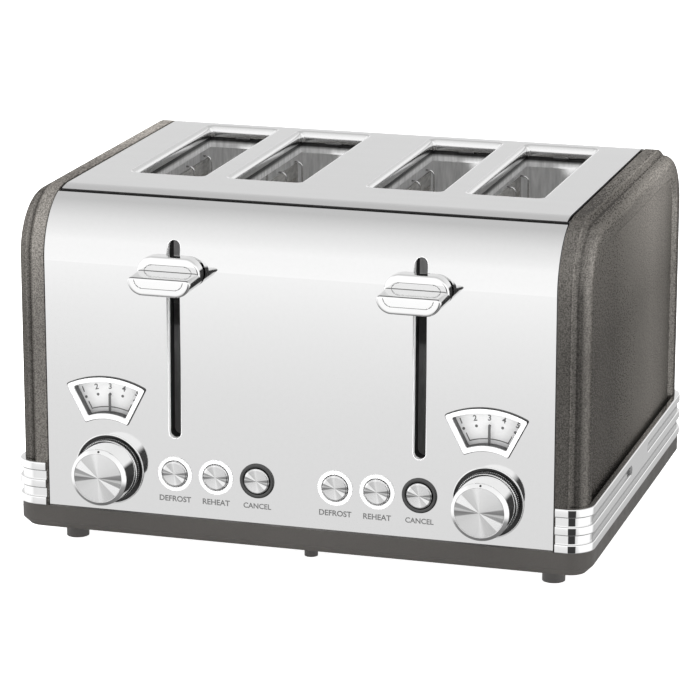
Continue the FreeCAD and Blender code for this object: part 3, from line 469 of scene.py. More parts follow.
PLAIN = {  # colour, roughness, metallic, grain, mottle, relief in millimetres
    "polished_steel": (0.8, 0.055, 1.0, 400, 0.006),
    "rolled_steel": (0.8, 0.15, 1.0, 400, 0.006),
    "satin_steel": (0.72, 0.3, 1.0, 300, 0.008, 0.0008),
    "chrome": (0.9, 0.04, 1.0, 300, 0.005),
    "shaded_chrome": (0.7, 0.12, 1.0, 300, 0.02),
    "painted_shade_groove_chrome": (0.42, 0.14, 1.0, 300, 0.02),
    "painted_shade_groove_end": (0.3, 0.6, 0, 300, 0.02),
    "base_plastic": ((0.052, 0.048, 0.044), 0.5, 0, 2200, 0.08, 0.01),
    "foot_rubber": ((0.07, 0.066, 0.063), 0.6, 0, 1800, 0.1, 0.01),
    "black_rubber": (0.008, 0.8, 0, 1500, 0.2, 0.01),
    "black_plastic": (0.01, 0.32, 0, 1500, 0.2, 0.005),
    "white_ring": (tone(224), 0.25, 0, 900, 0.01),
    "painted_highlight_edge": (tone(244), 0.4, 0, 900, 0.02),
    "well_wall": (0.1, 0.5, 0, 900, 0.1),
    "painted_shade_line": (0.2, 0.2, 1.0, 900, 0.05),
    "dark_ring": (0.1, 0.3, 1.0, 900, 0.05),
    "dial_face": (tone(206), 0.5, 0, 1200, 0.01),
    "print": (tone(92), 0.6, 0, 1200, 0.05),
    "needle": (tone(84), 0.4, 0, 1200, 0.05),
    "plated_steel": (0.5, 0.32, 1.0, 500, 0.08, 0.004),
    "wire_steel": (0.62, 0.25, 0.9, 800, 0.1, 0.004),
    "mica": ((0.62, 0.61, 0.59), 0.4, 0.2, 160, 0.25, 0.02),
    "nichrome": ((0.5, 0.48, 0.45), 0.35, 1.0, 900, 0.15, 0.003),
    "circuit_board": ((0.03, 0.12, 0.05), 0.4, 0, 500, 0.25, 0.004),
    "component": (0.03, 0.45, 0, 900, 0.2, 0.005),
}
BESIDES = {
    "polished_steel": {"wear": 0.2}, "rolled_steel": {"wear": 0.1}, "chrome": {"wear": 0.3},
    "satin_steel": {"stretch": (1, 14, 14), "wear": 0.04}, "mica": {"stretch": (1, 1, 3)},
    "base_plastic": {"specular": 0.3}, "black_rubber": {"specular": 0.1}, "white_ring": {"specular": 0.3},
    # the dial face glows a little: painted light that brightens it in its well
    "dial_face": {"glow": 0.1},
}
FLAKED_WITH_PAINTED_LIGHT = {  # painted brightness of the outer strip, and painted shade over the whole (darker for the cove)
    "left_paint": (0.85, 1.0), "right_paint": (0.41, 1.0),
    "left_cove_painted_shade": (0.8, 0.7), "right_cove_painted_shade": (0.41, 0.7),
}

FINISHES = {name: plain_finish(name, *row, **BESIDES.get(name, {})) for name, row in PLAIN.items()}
FINISHES.update({name: flake_finish(name, *row) for name, row in FLAKED_WITH_PAINTED_LIGHT.items()})
FINISHES["spun_metal"] = spun_finish("spun_metal", PAINTED_REFLECTION_WEDGES, 0.3)
FINISHES["inner_steel_painted_light"] = wall_finish("inner_steel_painted_light")


# ---- shell

GAUGE_HEIGHT = 51.5
GAUGE_NEAR = 27.0
GAUGE_FAR = 51.4
GAUGE_ANGLE = 27.2
GAUGE_SHIFT = 1.2
GAUGE_CORNER = 1.4
BEZEL_WIDTH = 3.0
BEZEL_SHIFT = 0.2
MARK_PITCH = 10.5
DOT_RADIUS = 39.8
DIGIT_RADIUS = 44.3
DIAL_DEPTH = 5.4
NEEDLE_DEPTH = 2.4
NEEDLE_TIP = 41.0
SCALE_RISE = 4.5
KNOB_BORE = 19.5
BUTTON_BORE = 8.8
LEVER_SLOT_HALF = 3.85
LEVER_SLOT_LOW = 70.2
LEVER_SLOT_HIGH = 182.5
SLOT_EDGE_DEPTH = 3.4

SIDES = ("left", "right")
SIGNS = {"left": -1, "right": 1}
KNOB_PLACES = {side: middle(side + "_browning_knob") for side in SIDES}
LEVER_PLACES = {side: middle(side + "_lever_knob") for side in SIDES}
BUTTON_NAMES = [side + "_" + job + "_button" for side in SIDES for job in ("defrost", "reheat", "cancel")]
BUTTON_PLACES = {name: middle(name) for name in BUTTON_NAMES}


def soften(outline, corners, reach, steps=5):
    """Rounds the numbered corners of an outline with short curves."""
    made = []
    for i, point in enumerate(outline):
        if i not in corners:
            made.append(point)
            continue
        here = Vector(point)
        before, after = Vector(outline[i - 1]) - here, Vector(outline[(i + 1) % len(outline)]) - here
        cut = min(reach, 0.9 * before.length, 0.9 * after.length)
        first, last = here + before.normalized() * cut, here + after.normalized() * cut
        for k in range(steps + 1):
            t = k / steps
            made.append(tuple(first * (1 - t) ** 2 + here * 2 * t * (1 - t) + last * t ** 2))
    return made


def lean_at(radius, inset):
    """Angle in degrees from the middle of a gauge to its slanted side, at a radius and an inset."""
    return GAUGE_ANGLE - math.degrees(math.asin(inset / radius))


def gauge_outline(x, inset, steps=24):
    """A ring sector with soft corners at an even inset, a little left of the needle's axis."""
    near = GAUGE_NEAR + inset
    far = GAUGE_FAR - inset
    centre = (x - GAUGE_SHIFT, GAUGE_HEIGHT)
    wide, narrow = lean_at(far, inset), lean_at(near, inset)
    outline = arc(centre, far, 90 - wide, 90 + wide, steps)
    outline += arc(centre, near, 90 + narrow, 90 - narrow, steps)
    return soften(outline, (0, steps, steps + 1, 2 * steps + 1), GAUGE_CORNER)


def gauge_wall(name, x, *profile):
    """A wall round a gauge window, from (inset, distance ahead of the front face) points."""
    rings = [[(u, FRONT - ahead, v) for u, v in gauge_outline(x, inset)] for inset, ahead in profile]
    return loft(name, rings, loop=True)


def quarter_turn(steps):
    """Angles in radians from 0 to a right angle."""
    return [math.radians(90 * p / steps) for p in range(steps + 1)]


def disc(x, z, radius, steps=64):
    return arc((x, z), radius, 0, 360 - 360 / steps, steps - 1)


def make_front_skin():
    bend = arc((FRONT_ARC, ARC_HEIGHT), BEND, 180, 180 - SEAM_ANGLE + SEAM_HALF, 30)
    inner = arc((FRONT_ARC, ARC_HEIGHT), BEND - SHEET, 180 - SEAM_ANGLE + SEAM_HALF, 180, 30)
    outline = [(FRONT, PANEL_LOW)] + bend + inner + [(FRONT + SHEET, PANEL_LOW)]
    skin = prism("front_skin", outline, -PANEL_HALF, PANEL_HALF, "x")
    cuts = []
    for side in SIDES:
        knob = KNOB_PLACES[side]
        slot = upright_slot(LEVER_PLACES[side].x, LEVER_SLOT_LOW, LEVER_SLOT_HIGH, LEVER_SLOT_HALF)
        cuts += [(slot, BEND), (gauge_outline(knob.x, 1.0), 5), (disc(knob.x, knob.z, KNOB_BORE), 5)]
    cuts += [(disc(place.x, place.z, BUTTON_BORE), 5) for place in BUTTON_PLACES.values()]
    carve(skin, [prism("tool", outline, FRONT - 5, FRONT + depth, "y") for outline, depth in cuts])
    finish(skin, "polished_steel", replaces=["front_panel"], sharp=25)


def slot_wall(name, x, grow, thick, front, depth):
    """A wall round a lever slot, following the bent panel at its top."""
    rings = []
    for extra, ahead in ((grow, True), (grow + thick, True), (grow + thick, False), (grow, False)):
        low, high = LEVER_SLOT_LOW - extra, LEVER_SLOT_HIGH + extra
        outline = upright_slot(x, low, high, LEVER_SLOT_HALF + extra, 24)
        ring = []
        for u, v in outline:
            rise = max(0.0, v - ARC_HEIGHT)
            face = FRONT_ARC - math.sqrt(BEND ** 2 - rise ** 2)
            ring.append((u, face + (front if ahead else depth), v))
        rings.append(ring)
    return loft(name, rings, loop=True)


def make_lever_slots():
    for side in SIDES:
        x = LEVER_PLACES[side].x
        edge = slot_wall(side + "_slot_edge", x, -0.28, 0.26, 0.05, SLOT_EDGE_DEPTH)
        # the slot's thin side wall is near white: a painted highlight where the steel edge catches the light
        finish(edge, "painted_highlight_edge", sharp=50)
        liner = slot_wall(side + "_slot_liner", x, -0.2, 1.0, SLOT_EDGE_DEPTH + 0.05, SLOT_EDGE_DEPTH + 7)
        finish(liner, "black_plastic", replaces=["lever_slot_liners"], sharp=50)


SLOT_CLEAR_HALF = 20.1
SLOT_FRONT = FRONT + 72.6
SLOT_REAR = FRONT + 206.2
ROLL = 2.8
ROLL_DEEP = 4.4
COLLAR_LOW = 6.5
COLLAR_THICK = 1.0
CLIP_LOW = 195.2
CLIP_HIGH = 197.0
CLIP_HALF = 4.6
SLOT_CENTRES = (-97.7, -40.6, 40.6, 97.7)


def slot_ring(x, grow, z):
    """A ring round a toast slot, grown from its clear opening."""
    outline = rounded_box(x - SLOT_CLEAR_HALF - grow, x + SLOT_CLEAR_HALF + grow,
                          SLOT_FRONT - grow, SLOT_REAR + grow, 2.2 + grow)
    return [(u, v, z) for u, v in outline]


def collar_rings(x):
    """Section of the rolled edge round a toast slot, from the top plate down inside and back up outside."""
    rings = [slot_ring(x, ROLL + 0.6, TOP - 0.02)]
    for angle in quarter_turn(8):
        z = TOP - 0.01 - ROLL_DEEP * (1 - math.cos(angle))
        rings.append(slot_ring(x, ROLL * (1 - math.sin(angle)), z))
    low = TOP - COLLAR_LOW
    for grow, z in ((0, low + 0.3), (0.15, low), (COLLAR_THICK - 0.15, low), (COLLAR_THICK, low + 0.3),
                    (COLLAR_THICK, TOP - ROLL_DEEP)):
        rings.append(slot_ring(x, grow, z))
    for angle in quarter_turn(4):
        grow = COLLAR_THICK + (ROLL - COLLAR_THICK) * (1 - math.cos(angle))
        rings.append(slot_ring(x, grow, TOP - ROLL_DEEP + (ROLL_DEEP - COLLAR_THICK) * math.sin(angle)))
    return rings + [slot_ring(x, ROLL + 0.6, TOP - COLLAR_THICK)]


def make_top():
    start, end = 180 - SEAM_ANGLE - SEAM_HALF, SEAM_ANGLE + SEAM_HALF
    outer = arc((FRONT_ARC, ARC_HEIGHT), BEND, start, 90, 8) + arc((REAR_ARC, ARC_HEIGHT), BEND, 90, end, 8)
    inner = (arc((REAR_ARC, ARC_HEIGHT), BEND - SHEET, end, 90, 8)
             + arc((FRONT_ARC, ARC_HEIGHT), BEND - SHEET, 90, start, 8))
    plate = prism("top_sheet", outer + inner, -TOP_HALF, TOP_HALF, "x")
    openings = [[(u, v) for u, v, _ in slot_ring(x, ROLL, 0)] for x in SLOT_CENTRES]
    carve(plate, [prism("tool", outline, TOP - 8, TOP + 8, "z") for outline in openings])
    finish(plate, "satin_steel", replaces=["top_plate"], sharp=25)
    for number, x in enumerate(SLOT_CENTRES, 1):
        collar = loft(f"slot_collar_{number}", collar_rings(x), loop=True)
        finish(collar, "rolled_steel", sharp=50)
        near, far = SLOT_REAR - 0.9, SLOT_REAR + 1.2
        section = [(near + 0.4, CLIP_LOW), (far, CLIP_LOW), (far, CLIP_HIGH), (near + 0.8, CLIP_HIGH),
                   (near, CLIP_HIGH - 0.8), (near, CLIP_LOW + 1.2)]
        clip = prism(f"slot_clip_{number}", section, x - CLIP_HALF, x + CLIP_HALF, "x")
        finish(clip, "component", bevel=0.2)


def make_seam():
    """The black gasket that shows between the top and the front and rear panels."""
    for name, centre, sign in (("front_seam", FRONT_ARC, -1), ("rear_seam", REAR_ARC, 1)):
        outline = []
        for radius, turns in ((BEND - 1.05, (-1, 1)), (BEND - 2.5, (1, -1))):
            for turn in turns:
                a = math.radians(SEAM_ANGLE + turn * (SEAM_HALF + 2))
                outline.append((centre + sign * radius * math.cos(a), ARC_HEIGHT + radius * math.sin(a)))
        seam = prism(name, outline, -TOP_HALF - 0.8, TOP_HALF + 0.8, "x")
        finish(seam, "black_rubber", replaces=["top_gasket"])


COVER_START, COVER_END = (corner.x for corner in extent("right_side_cover"))
STRIP_END = 152.0
COVE_DROP = 3.0
COVER_ROUND = 6.4
PAINTED_SHADE_COVE_STEPS = (17, 25)  # the steps of cover_section() that lie in the cove, which get painted shade
RIM_WIDTH = 17.0
RECESS = 2.6
COVER_WALL = 2.2


def hood_path(inset, steps=18):
    """Side view of the hood at an inset: up the front, over the top, and down the back."""
    radius = BEND - inset
    levels = (PANEL_LOW, PANEL_LOW + 30, ARC_HEIGHT - 25)
    return ([(FRONT + inset, z) for z in levels]
            + arc((FRONT_ARC, ARC_HEIGHT), radius, 180, 90, steps)
            + arc((REAR_ARC, ARC_HEIGHT), radius, 90, 0, steps)
            + [(REAR - inset, z) for z in reversed(levels)])


def cover_section():
    """Points (x, inset) from the recessed face over the rim to the strip by the steel, and back inside."""
    face = COVER_END - RECESS
    floor = COVE_DROP + COVER_ROUND
    centre = (COVER_END - COVER_ROUND, floor)
    section = [(face, RIM_WIDTH + 2.2), (face + 0.25, RIM_WIDTH + 1.2), (face + 1.0, RIM_WIDTH + 0.3),
               (COVER_END - 0.7, RIM_WIDTH - 0.7), (COVER_END - 0.15, RIM_WIDTH - 1.4),
               (COVER_END, RIM_WIDTH - 2.2)]
    section += arc(centre, COVER_ROUND, 0, -90, 12)
    run = centre[0] - STRIP_END
    for k in range(9, 0, -1):
        share = k / 10
        wave = 0.5 - 0.5 * math.cos(math.pi * share)
        section.append((STRIP_END + run * share, (COVE_DROP + 0.02) * wave))
    section += [(STRIP_END, 0.02), (STRIP_END - 0.4, 0.0)]
    section += [(COVER_START + 0.5, 0.0), (COVER_START + 0.12, 0.12), (COVER_START, 0.5)]
    inner = face - COVER_WALL
    section += [(COVER_START, COVER_WALL), (STRIP_END - 2.5, COVER_WALL), (STRIP_END - 1.5, COVE_DROP + 2.2)]
    section += [(inner - 2.5, floor - 1), (inner, floor + 2.5), (inner, RIM_WIDTH + 2.2)]
    return section


def make_side_covers():
    for side, sign in SIGNS.items():
        section = cover_section()
        stations = list(zip(*(hood_path(inset) for _, inset in section)))
        count = len(section)
        points = [(sign * x, *place) for station in stations for (x, _), place in zip(section, station)]
        faces = []
        for s in range(len(stations) - 1):
            for i in range(count - 1):
                a = s * count + i
                faces.append((a, a + 1, a + count + 1, a + count))
        last = (len(stations) - 1) * count
        faces.append(list(range(0, last + count, count)))
        faces.append(list(range(count - 1, last + count, count)))
        faces.append(list(range(count)))
        faces.append(list(range(last, last + count)))
        faces.append((0, count - 1, last + count - 1, last))
        cover = mesh_piece(side + "_cover_shell", points, faces)
        # each cover takes its own lit copy of one paint, with a different painted brightness on its strip
        finish(cover, side + "_paint", replaces=[side + "_side_cover"], sharp=38)
        # the cove faces take a darker copy of the paint: painted shade in the hollow
        cover.data.materials.append(FINISHES[side + "_cove_painted_shade"])
        hood_faces = (len(stations) - 1) * (count - 1)
        for index, face in enumerate(cover.data.polygons[:hood_faces]):
            if PAINTED_SHADE_COVE_STEPS[0] <= index % (count - 1) < PAINTED_SHADE_COVE_STEPS[1]:
                face.material_index = 1


# ---- chrome trim bands

(BAND_START, BAND_FRONT, BAND_LOW), (BAND_END, BAND_REAR, _) = extent("right_trim_band")
BAND_CORNER = 13.8
BAND_STRIPE = 5.0
BAND_DEPTH = 3.2
STRIPES = 5
GROOVE = 1.5
BADGE_HALF = 20.0
RIB_SOFT = 0.75


def band_stations(inset, steps=24):
    """Plan of a line along the band from the front, round the side, to the rear."""
    radius = BAND_CORNER - inset
    near = (BAND_END - BAND_CORNER, BAND_FRONT + BAND_CORNER)
    far = (BAND_END - BAND_CORNER, BAND_REAR - BAND_CORNER)
    return ([(BAND_START, BAND_FRONT + inset)]
            + arc(near, radius, -90, 0, steps) + arc(far, radius, 0, 90, steps)
            + [(BAND_START, BAND_REAR - inset)])


def band_profile(low, high, deep):
    """One stripe's outer face from top to bottom as (inset, height): a rounded rib, or a groove's floor."""
    if deep:
        return [(GROOVE, high), (GROOVE, low)]
    top = [(RIB_SOFT * (1 - math.sin(a)), high - RIB_SOFT * (1 - math.cos(a))) for a in quarter_turn(3)]
    bottom = [(i, low + high - z) for i, z in reversed(top)]
    return top + bottom


def make_trim_bands():
    middle_y = (BAND_FRONT + BAND_REAR) / 2
    low = BAND_LOW + 3 * BAND_STRIPE
    high = low + BAND_STRIPE
    half = BAND_STRIPE / 2
    stop = middle_y - BADGE_HALF - half
    curve = [low + half - half * math.cos(math.radians(a)) for a in range(0, 181, 12)]
    heights = [low - RIB_SOFT] + curve + [high + RIB_SOFT]
    for side, sign in SIGNS.items():
        outer = []
        for stripe in reversed(range(STRIPES)):
            start = BAND_LOW + stripe * BAND_STRIPE
            outer += band_profile(start, start + BAND_STRIPE, stripe % 2)
        section = outer + [(BAND_DEPTH, BAND_LOW), (BAND_DEPTH, BAND_LOW + STRIPES * BAND_STRIPE)]
        stations = zip(*(band_stations(inset) for inset, _ in section))
        rings = [[(sign * x, y, z) for (x, y), (_, z) in zip(station, section)] for station in stations]
        band = loft(side + "_trim", rings)
        finish(band, "chrome", replaces=[side + "_trim_band"], sharp=40)
        band.data.materials.append(FINISHES["painted_shade_groove_chrome"])
        band.data.materials.append(FINISHES["painted_shade_line"])
        # painted shade: groove floors on the side take darker chrome, and rib undersides a dark line
        for face in band.data.polygons:
            _, y, z = face.center / MM
            stripe = (z - BAND_LOW) / BAND_STRIPE
            if int(stripe) % 2 and 0.01 < stripe % 1 < 0.99 and BAND_FRONT + 12 < y < BAND_REAR - 12:
                face.material_index = 1
            elif face.normal.z < -0.45 and 0.3 < stripe < STRIPES - 0.1:
                face.material_index = 2
        rings = []
        for z in heights:
            near = stop + math.sqrt(max(0.0, half ** 2 - (z - low - half) ** 2))
            far = 2 * middle_y - near
            inside, outside = sign * (BAND_END - GROOVE - 0.2), sign * BAND_END
            rings.append([(outside, near, z), (outside, far, z), (inside, far, z), (inside, near, z)])
        plate = loft(side + "_trim_plate", rings)
        finish(plate, "chrome", sharp=40)
        # the plate's end walls take a dark finish: painted shade
        plate.data.materials.append(FINISHES["painted_shade_groove_end"])
        for face in plate.data.polygons:
            if abs(face.normal.x) < 0.5:
                face.material_index = 1


# ---- controls

KNOB_SKIRT = (
    (0, -0.8), (17.3, -0.8), (17.35, 0.4), (17.4, 0.6, 0.35), (17.35, 3.4, 0.35), (17.0, 3.7), (16.9, 4.2),
    (16.85, 4.6), (16.2, 17.3), (16.1, 17.7), (15.9, 18.0), (14.2, 19.3), (14.0, 19.4), (13.85, 19.3),
    (13.8, 19.0), (13.0, 18.9), (0, 18.9),
)
KNOB_FACE = ((0, 18.6), (13.75, 18.6), (13.75, 19.15), (13.6, 19.25), (0, 19.42))
KNOB_MARK = ((0, 0), (0.6, 0), (0.6, 19.0), (0.5, 19.1), (0, 19.1))
KNOB_COLLAR = ((19.3, -2), (20.0, -0.2), (20.0, 0.5), (19.85, 0.75), (19.65, 0.8), (19.45, 0.75), (19.3, 0.5),
               (19.3, -2))
KNOB_WELL = ((0, -3.2), (19.3, -3.2), (19.3, -1.6), (0, -1.6))


def make_knobs():
    for side in SIDES:
        x, _, z = KNOB_PLACES[side]
        body = side + "_browning_control"
        skirt = lathe(side + "_knob_skirt", KNOB_SKIRT, x, z, steps=384, teeth=96)
        finish(skirt, "chrome", body, [side + "_browning_knob"], sharp=40)
        finish(lathe(side + "_knob_face", KNOB_FACE, x, z, steps=128), "spun_metal", body, sharp=40)
        finish(lathe(side + "_knob_mark", KNOB_MARK, x + 0.5, z + 15.0, steps=20), "black_plastic", body)
        collar = lathe(side + "_knob_collar", KNOB_COLLAR, x, z, steps=128)
        finish(collar, "chrome", replaces=["knob_collars"], sharp=50)
        finish(lathe(side + "_knob_well", KNOB_WELL, x, z), "black_plastic")


def gauge_scale(x, radius, inset, width):
    """A printed line that follows the window's lower edge and turns up at both ends."""
    centre = (x - GAUGE_SHIFT, GAUGE_HEIGHT)
    outline = []
    for r, i, order in ((radius, inset, 1), (radius + width, inset + width, -1)):
        high, low = lean_at(r + SCALE_RISE, i), lean_at(r, i)
        left = arc(centre, r + SCALE_RISE, 90 + high, 90 + high, 1)[:1]
        right = arc(centre, r + SCALE_RISE, 90 - high, 90 - high, 1)[:1]
        path = left + arc(centre, r, 90 + low, 90 - low, 24) + right
        outline += path[::order]
    return outline


def gauge_marks(x, front):
    """The printed line, dots and digits of a dial whose face is at that Y."""
    marks = []
    for number in range(1, 6):
        lean = (number - 3) * MARK_PITCH
        turn = math.radians(90 - lean)
        dot, digit = ((x - 1 + r * math.cos(turn), GAUGE_HEIGHT + r * math.sin(turn))
                      for r in (DOT_RADIUS, DIGIT_RADIUS))
        marks.append(prism("mark", disc(*dot, 0.8, 20), front - 0.06, front + 0.1, "y"))
        marks.append(lettering("mark", str(number), digit, front - 0.06, height=3.3, lean=lean))
    line = gauge_scale(x, GAUGE_NEAR + BEZEL_WIDTH + 2.2, BEZEL_WIDTH + 1.3, 0.55)
    marks.append(prism("mark", line, front - 0.05, front + 0.1, "y"))
    return marks


SHADOW_RIM_PROFILE = ((0.0, -0.2), (0.0, 0.72), (0.15, 0.8), (1.4, 0.8), (1.4, -0.2))
WELL_PROFILE = ((BEZEL_WIDTH, -0.2), (BEZEL_WIDTH, -DIAL_DEPTH - 1), (BEZEL_WIDTH - 0.3, -DIAL_DEPTH - 1),
                (BEZEL_WIDTH - 0.3, -0.2))


def make_gauges():
    for side in SIDES:
        x = KNOB_PLACES[side].x
        # a black rim a little wider than the white bezel: painted shadow round its edge
        rim = gauge_wall(side + "_gauge_shadow_rim", x, *SHADOW_RIM_PROFILE)
        finish(rim, "black_plastic", sharp=50)
        outer = [[(u, FRONT - ahead, v - BEZEL_SHIFT) for u, v in gauge_outline(x - BEZEL_SHIFT, inset)]
                 for inset, ahead in ((0.45, 0.5), (0.45, 0.85), (0.65, 1.0))]
        inner = [[(u, FRONT - ahead, v) for u, v in gauge_outline(x, BEZEL_WIDTH - less)]
                 for less, ahead in ((0.25, 1.0), (0.0, 0.8), (0.0, -0.2), (0.5, -0.2))]
        bezel = loft(side + "_gauge_bezel", outer + inner, loop=True)
        finish(bezel, "white_ring", replaces=["gauge_bezels"], sharp=50)
        well = gauge_wall(side + "_gauge_well", x, *WELL_PROFILE)
        finish(well, "well_wall", sharp=50)
        front = FRONT + DIAL_DEPTH
        dial = prism(side + "_gauge_dial", gauge_outline(x, BEZEL_WIDTH - 0.25), front, front + 0.8, "y")
        finish(dial, "dial_face", replaces=["gauge_dials"])
        finish(merge(side + "_gauge_print", gauge_marks(x, front)), "print")
        root, tip = GAUGE_HEIGHT + GAUGE_NEAR, GAUGE_HEIGHT + NEEDLE_TIP
        left, right = x - 1.1, x + 0.3
        outline = [(left, root), (right, root), (right, tip - 0.6), (right - 0.35, tip), (left + 0.35, tip),
                   (left, tip - 0.6)]
        front = FRONT + NEEDLE_DEPTH
        needle = prism(side + "_needle", outline, front, front + 0.6, "y")
        finish(needle, "needle", side + "_browning_control", [side + "_gauge_needle"], bevel=0.15)


def lettering(name, words, centre, y, height=None, width=None, lean=0.0):
    """Raised print on a face that looks forward, centred, scaled to a height or a width in millimetres."""
    text = bpy.data.curves.new(name, "FONT")
    text.body = words
    text.align_x = "CENTER"
    text.align_y = "CENTER"
    text.extrude = 0.02
    text.offset = 0.02
    text.resolution_u = 4
    mesh = mesh_from_curve(text)
    across = [v.co.x for v in mesh.vertices]
    up = [v.co.y for v in mesh.vertices]
    scale = height / (max(up) - min(up)) if height else width / (max(across) - min(across))
    mid_x, mid_z = (max(across) + min(across)) / 2, (max(up) + min(up)) / 2
    cos, sin = math.cos(math.radians(-lean)), math.sin(math.radians(-lean))
    for v in mesh.vertices:
        u, w = (v.co.x - mid_x) * scale, (v.co.y - mid_z) * scale
        depth = y - v.co.z
        v.co = Vector((centre[0] + u * cos - w * sin, depth, centre[1] + u * sin + w * cos)) * MM
    return add_object(name, mesh)


LABEL_DROP = 14.5
LABELS = {"defrost": 18.5, "reheat": 15.8, "cancel": 16.0}


BUTTON_CAP = ((0, -6), (7.25, -6), (7.25, 0.9), (7.1, 1.25), (6.5, 1.6), (6.2, 1.55), (0, 1.45))
BUTTON_RING = ((7.6, -1.5), (9.4, -0.6), (9.9, -0.02), (9.9, 0.45), (9.6, 0.8), (9.2, 0.9), (8.2, 0.9),
               (7.8, 0.75), (7.6, 0.4), (7.6, -1.5))
BUTTON_WELL = ((7.3, -3), (8.7, -3), (8.7, -1.4), (7.3, -1.4))


def make_buttons():
    for name, (x, _, z) in BUTTON_PLACES.items():
        part = name.removesuffix("_button")
        job = part.split("_")[1]
        finish(lathe(name + "_cap", BUTTON_CAP, x, z), "spun_metal", name, [name], sharp=45)
        dark = job == "cancel"
        node = "cancel_button_rings" if dark else "function_button_rings"
        ring = lathe(part + "_ring", BUTTON_RING, x, z)
        finish(ring, "dark_ring" if dark else "white_ring", replaces=[node], sharp=50)
        finish(lathe(part + "_well", BUTTON_WELL, x, z), "black_plastic")
        words = lettering(part + "_label", job.upper(), (x, z - LABEL_DROP), FRONT - 0.03, width=LABELS[job])
        finish(words, "print")


LEVER_HALF_WIDTH = 18.2
LEVER_HALF_HEIGHT = 9.1
LEVER_BACK = 1.6
LEVER_STEP = 8.4
LEVER_LIP = 24.0
LEVER_SOFT = 1.4
SHELF_EDGE = 0.9
SHELF_RISE = 0.35
SHELF_NOSE = 1.0
SHELF_CORNER = 2.8
SHELF_STEPS = (28, 6, 8, 28)
PAINTED_LINE_INSET = 4.4
PAINTED_LINE_HALF = 0.2


def shelf_edge(x):
    """Height of the finger shelf's front edge, which falls away at the ends."""
    beyond = max(0.0, abs(x) - (LEVER_HALF_WIDTH - SHELF_CORNER))
    return SHELF_EDGE - SHELF_CORNER + math.sqrt(max(0.0, SHELF_CORNER ** 2 - beyond ** 2))


def lever_depth(x, z):
    """How far ahead the finger lever's front is: a shallow upper face, a flat shelf, and the lower face."""
    edge = shelf_edge(x)
    if z >= edge + SHELF_RISE:
        return LEVER_STEP
    if z > edge:
        return LEVER_STEP + (edge + SHELF_RISE - z) / SHELF_RISE * (LEVER_LIP - SHELF_NOSE - LEVER_STEP)
    below = min(1.0, (edge - z) / SHELF_NOSE)
    return LEVER_LIP - SHELF_NOSE + SHELF_NOSE * math.sqrt(1 - (1 - below) ** 2)


def spaced(start, end, count):
    """Even steps from start up to, but not including, end."""
    return [start + (end - start) * i / count for i in range(count)]


def make_lever_knobs():
    middle_half = LEVER_HALF_WIDTH - LEVER_HALF_HEIGHT
    bend = [middle_half + LEVER_HALF_HEIGHT * math.sin(math.radians(a / 2)) for a in range(0, 181, 5)]
    stations = [-x for x in reversed(bend)] + [-middle_half / 2, 0, middle_half / 2] + bend
    for side in SIDES:
        place = LEVER_PLACES[side]
        rings = []
        for x in stations:
            beyond = max(0.0, abs(x) - middle_half)
            half = math.sqrt(max(0.0, LEVER_HALF_HEIGHT ** 2 - beyond ** 2))
            edge = shelf_edge(x)
            levels = (LEVER_HALF_HEIGHT, edge + SHELF_RISE, edge, edge - SHELF_NOSE, -LEVER_HALF_HEIGHT)
            heights = [z for high, low, count in zip(levels, levels[1:], SHELF_STEPS)
                       for z in spaced(high, low, count)] + [-LEVER_HALF_HEIGHT]
            ring = []
            for z in heights:
                z = max(-half, min(half, z))
                depth = lever_depth(x, z)
                inset = LEVER_HALF_HEIGHT - math.hypot(beyond, z)
                if inset < LEVER_SOFT:
                    depth -= LEVER_SOFT - math.sqrt(LEVER_SOFT ** 2 - (LEVER_SOFT - max(0, inset)) ** 2)
                ring.append((place.x + x, FRONT - depth, place.z + z))
            rings.append(ring + [(place.x + x, FRONT - LEVER_BACK, place.z + z) for z in (-half, half)])
        knob = loft(side + "_lever_grip", rings)
        finish(knob, "chrome", side + "_carriage", [side + "_lever_knob"], sharp=48)
        # dark painted lines along the crease, the lip and the inner stadium stand in for shade and dark
        # reflections; the shelf takes shaded chrome
        knob.data.materials.append(FINISHES["painted_shade_line"])
        knob.data.materials.append(FINISHES["shaded_chrome"])
        for face in knob.data.polygons:
            x, y, z = face.center / MM - Vector((place.x, FRONT, place.z))
            inset = LEVER_HALF_HEIGHT - math.hypot(max(0.0, abs(x) - middle_half), z)
            above = z - shelf_edge(x)
            crease = 0 < above - SHELF_RISE < 2 * PAINTED_LINE_HALF
            lip = abs(above + 0.2) < PAINTED_LINE_HALF and abs(x) < LEVER_HALF_WIDTH - SHELF_CORNER / 2
            stadium = abs(inset - PAINTED_LINE_INSET) < PAINTED_LINE_HALF and not -SHELF_NOSE < above < SHELF_RISE
            if 0 < above < SHELF_RISE and -y > LEVER_STEP:
                face.material_index = 2
            if -y > LEVER_STEP - 0.6 and inset > LEVER_SOFT and (crease or lip or stadium):
                face.material_index = 1


# ---- inside the slots

CAGE_WIRES = 5
CAGE_PITCH = 31.0
CAGE_FRONT = 74.0
CAGE_TIE = 166.0
CAGE_WIRE = 1.0
CAGE_BEND = 3.0
AXLE_RADIUS = 1.45


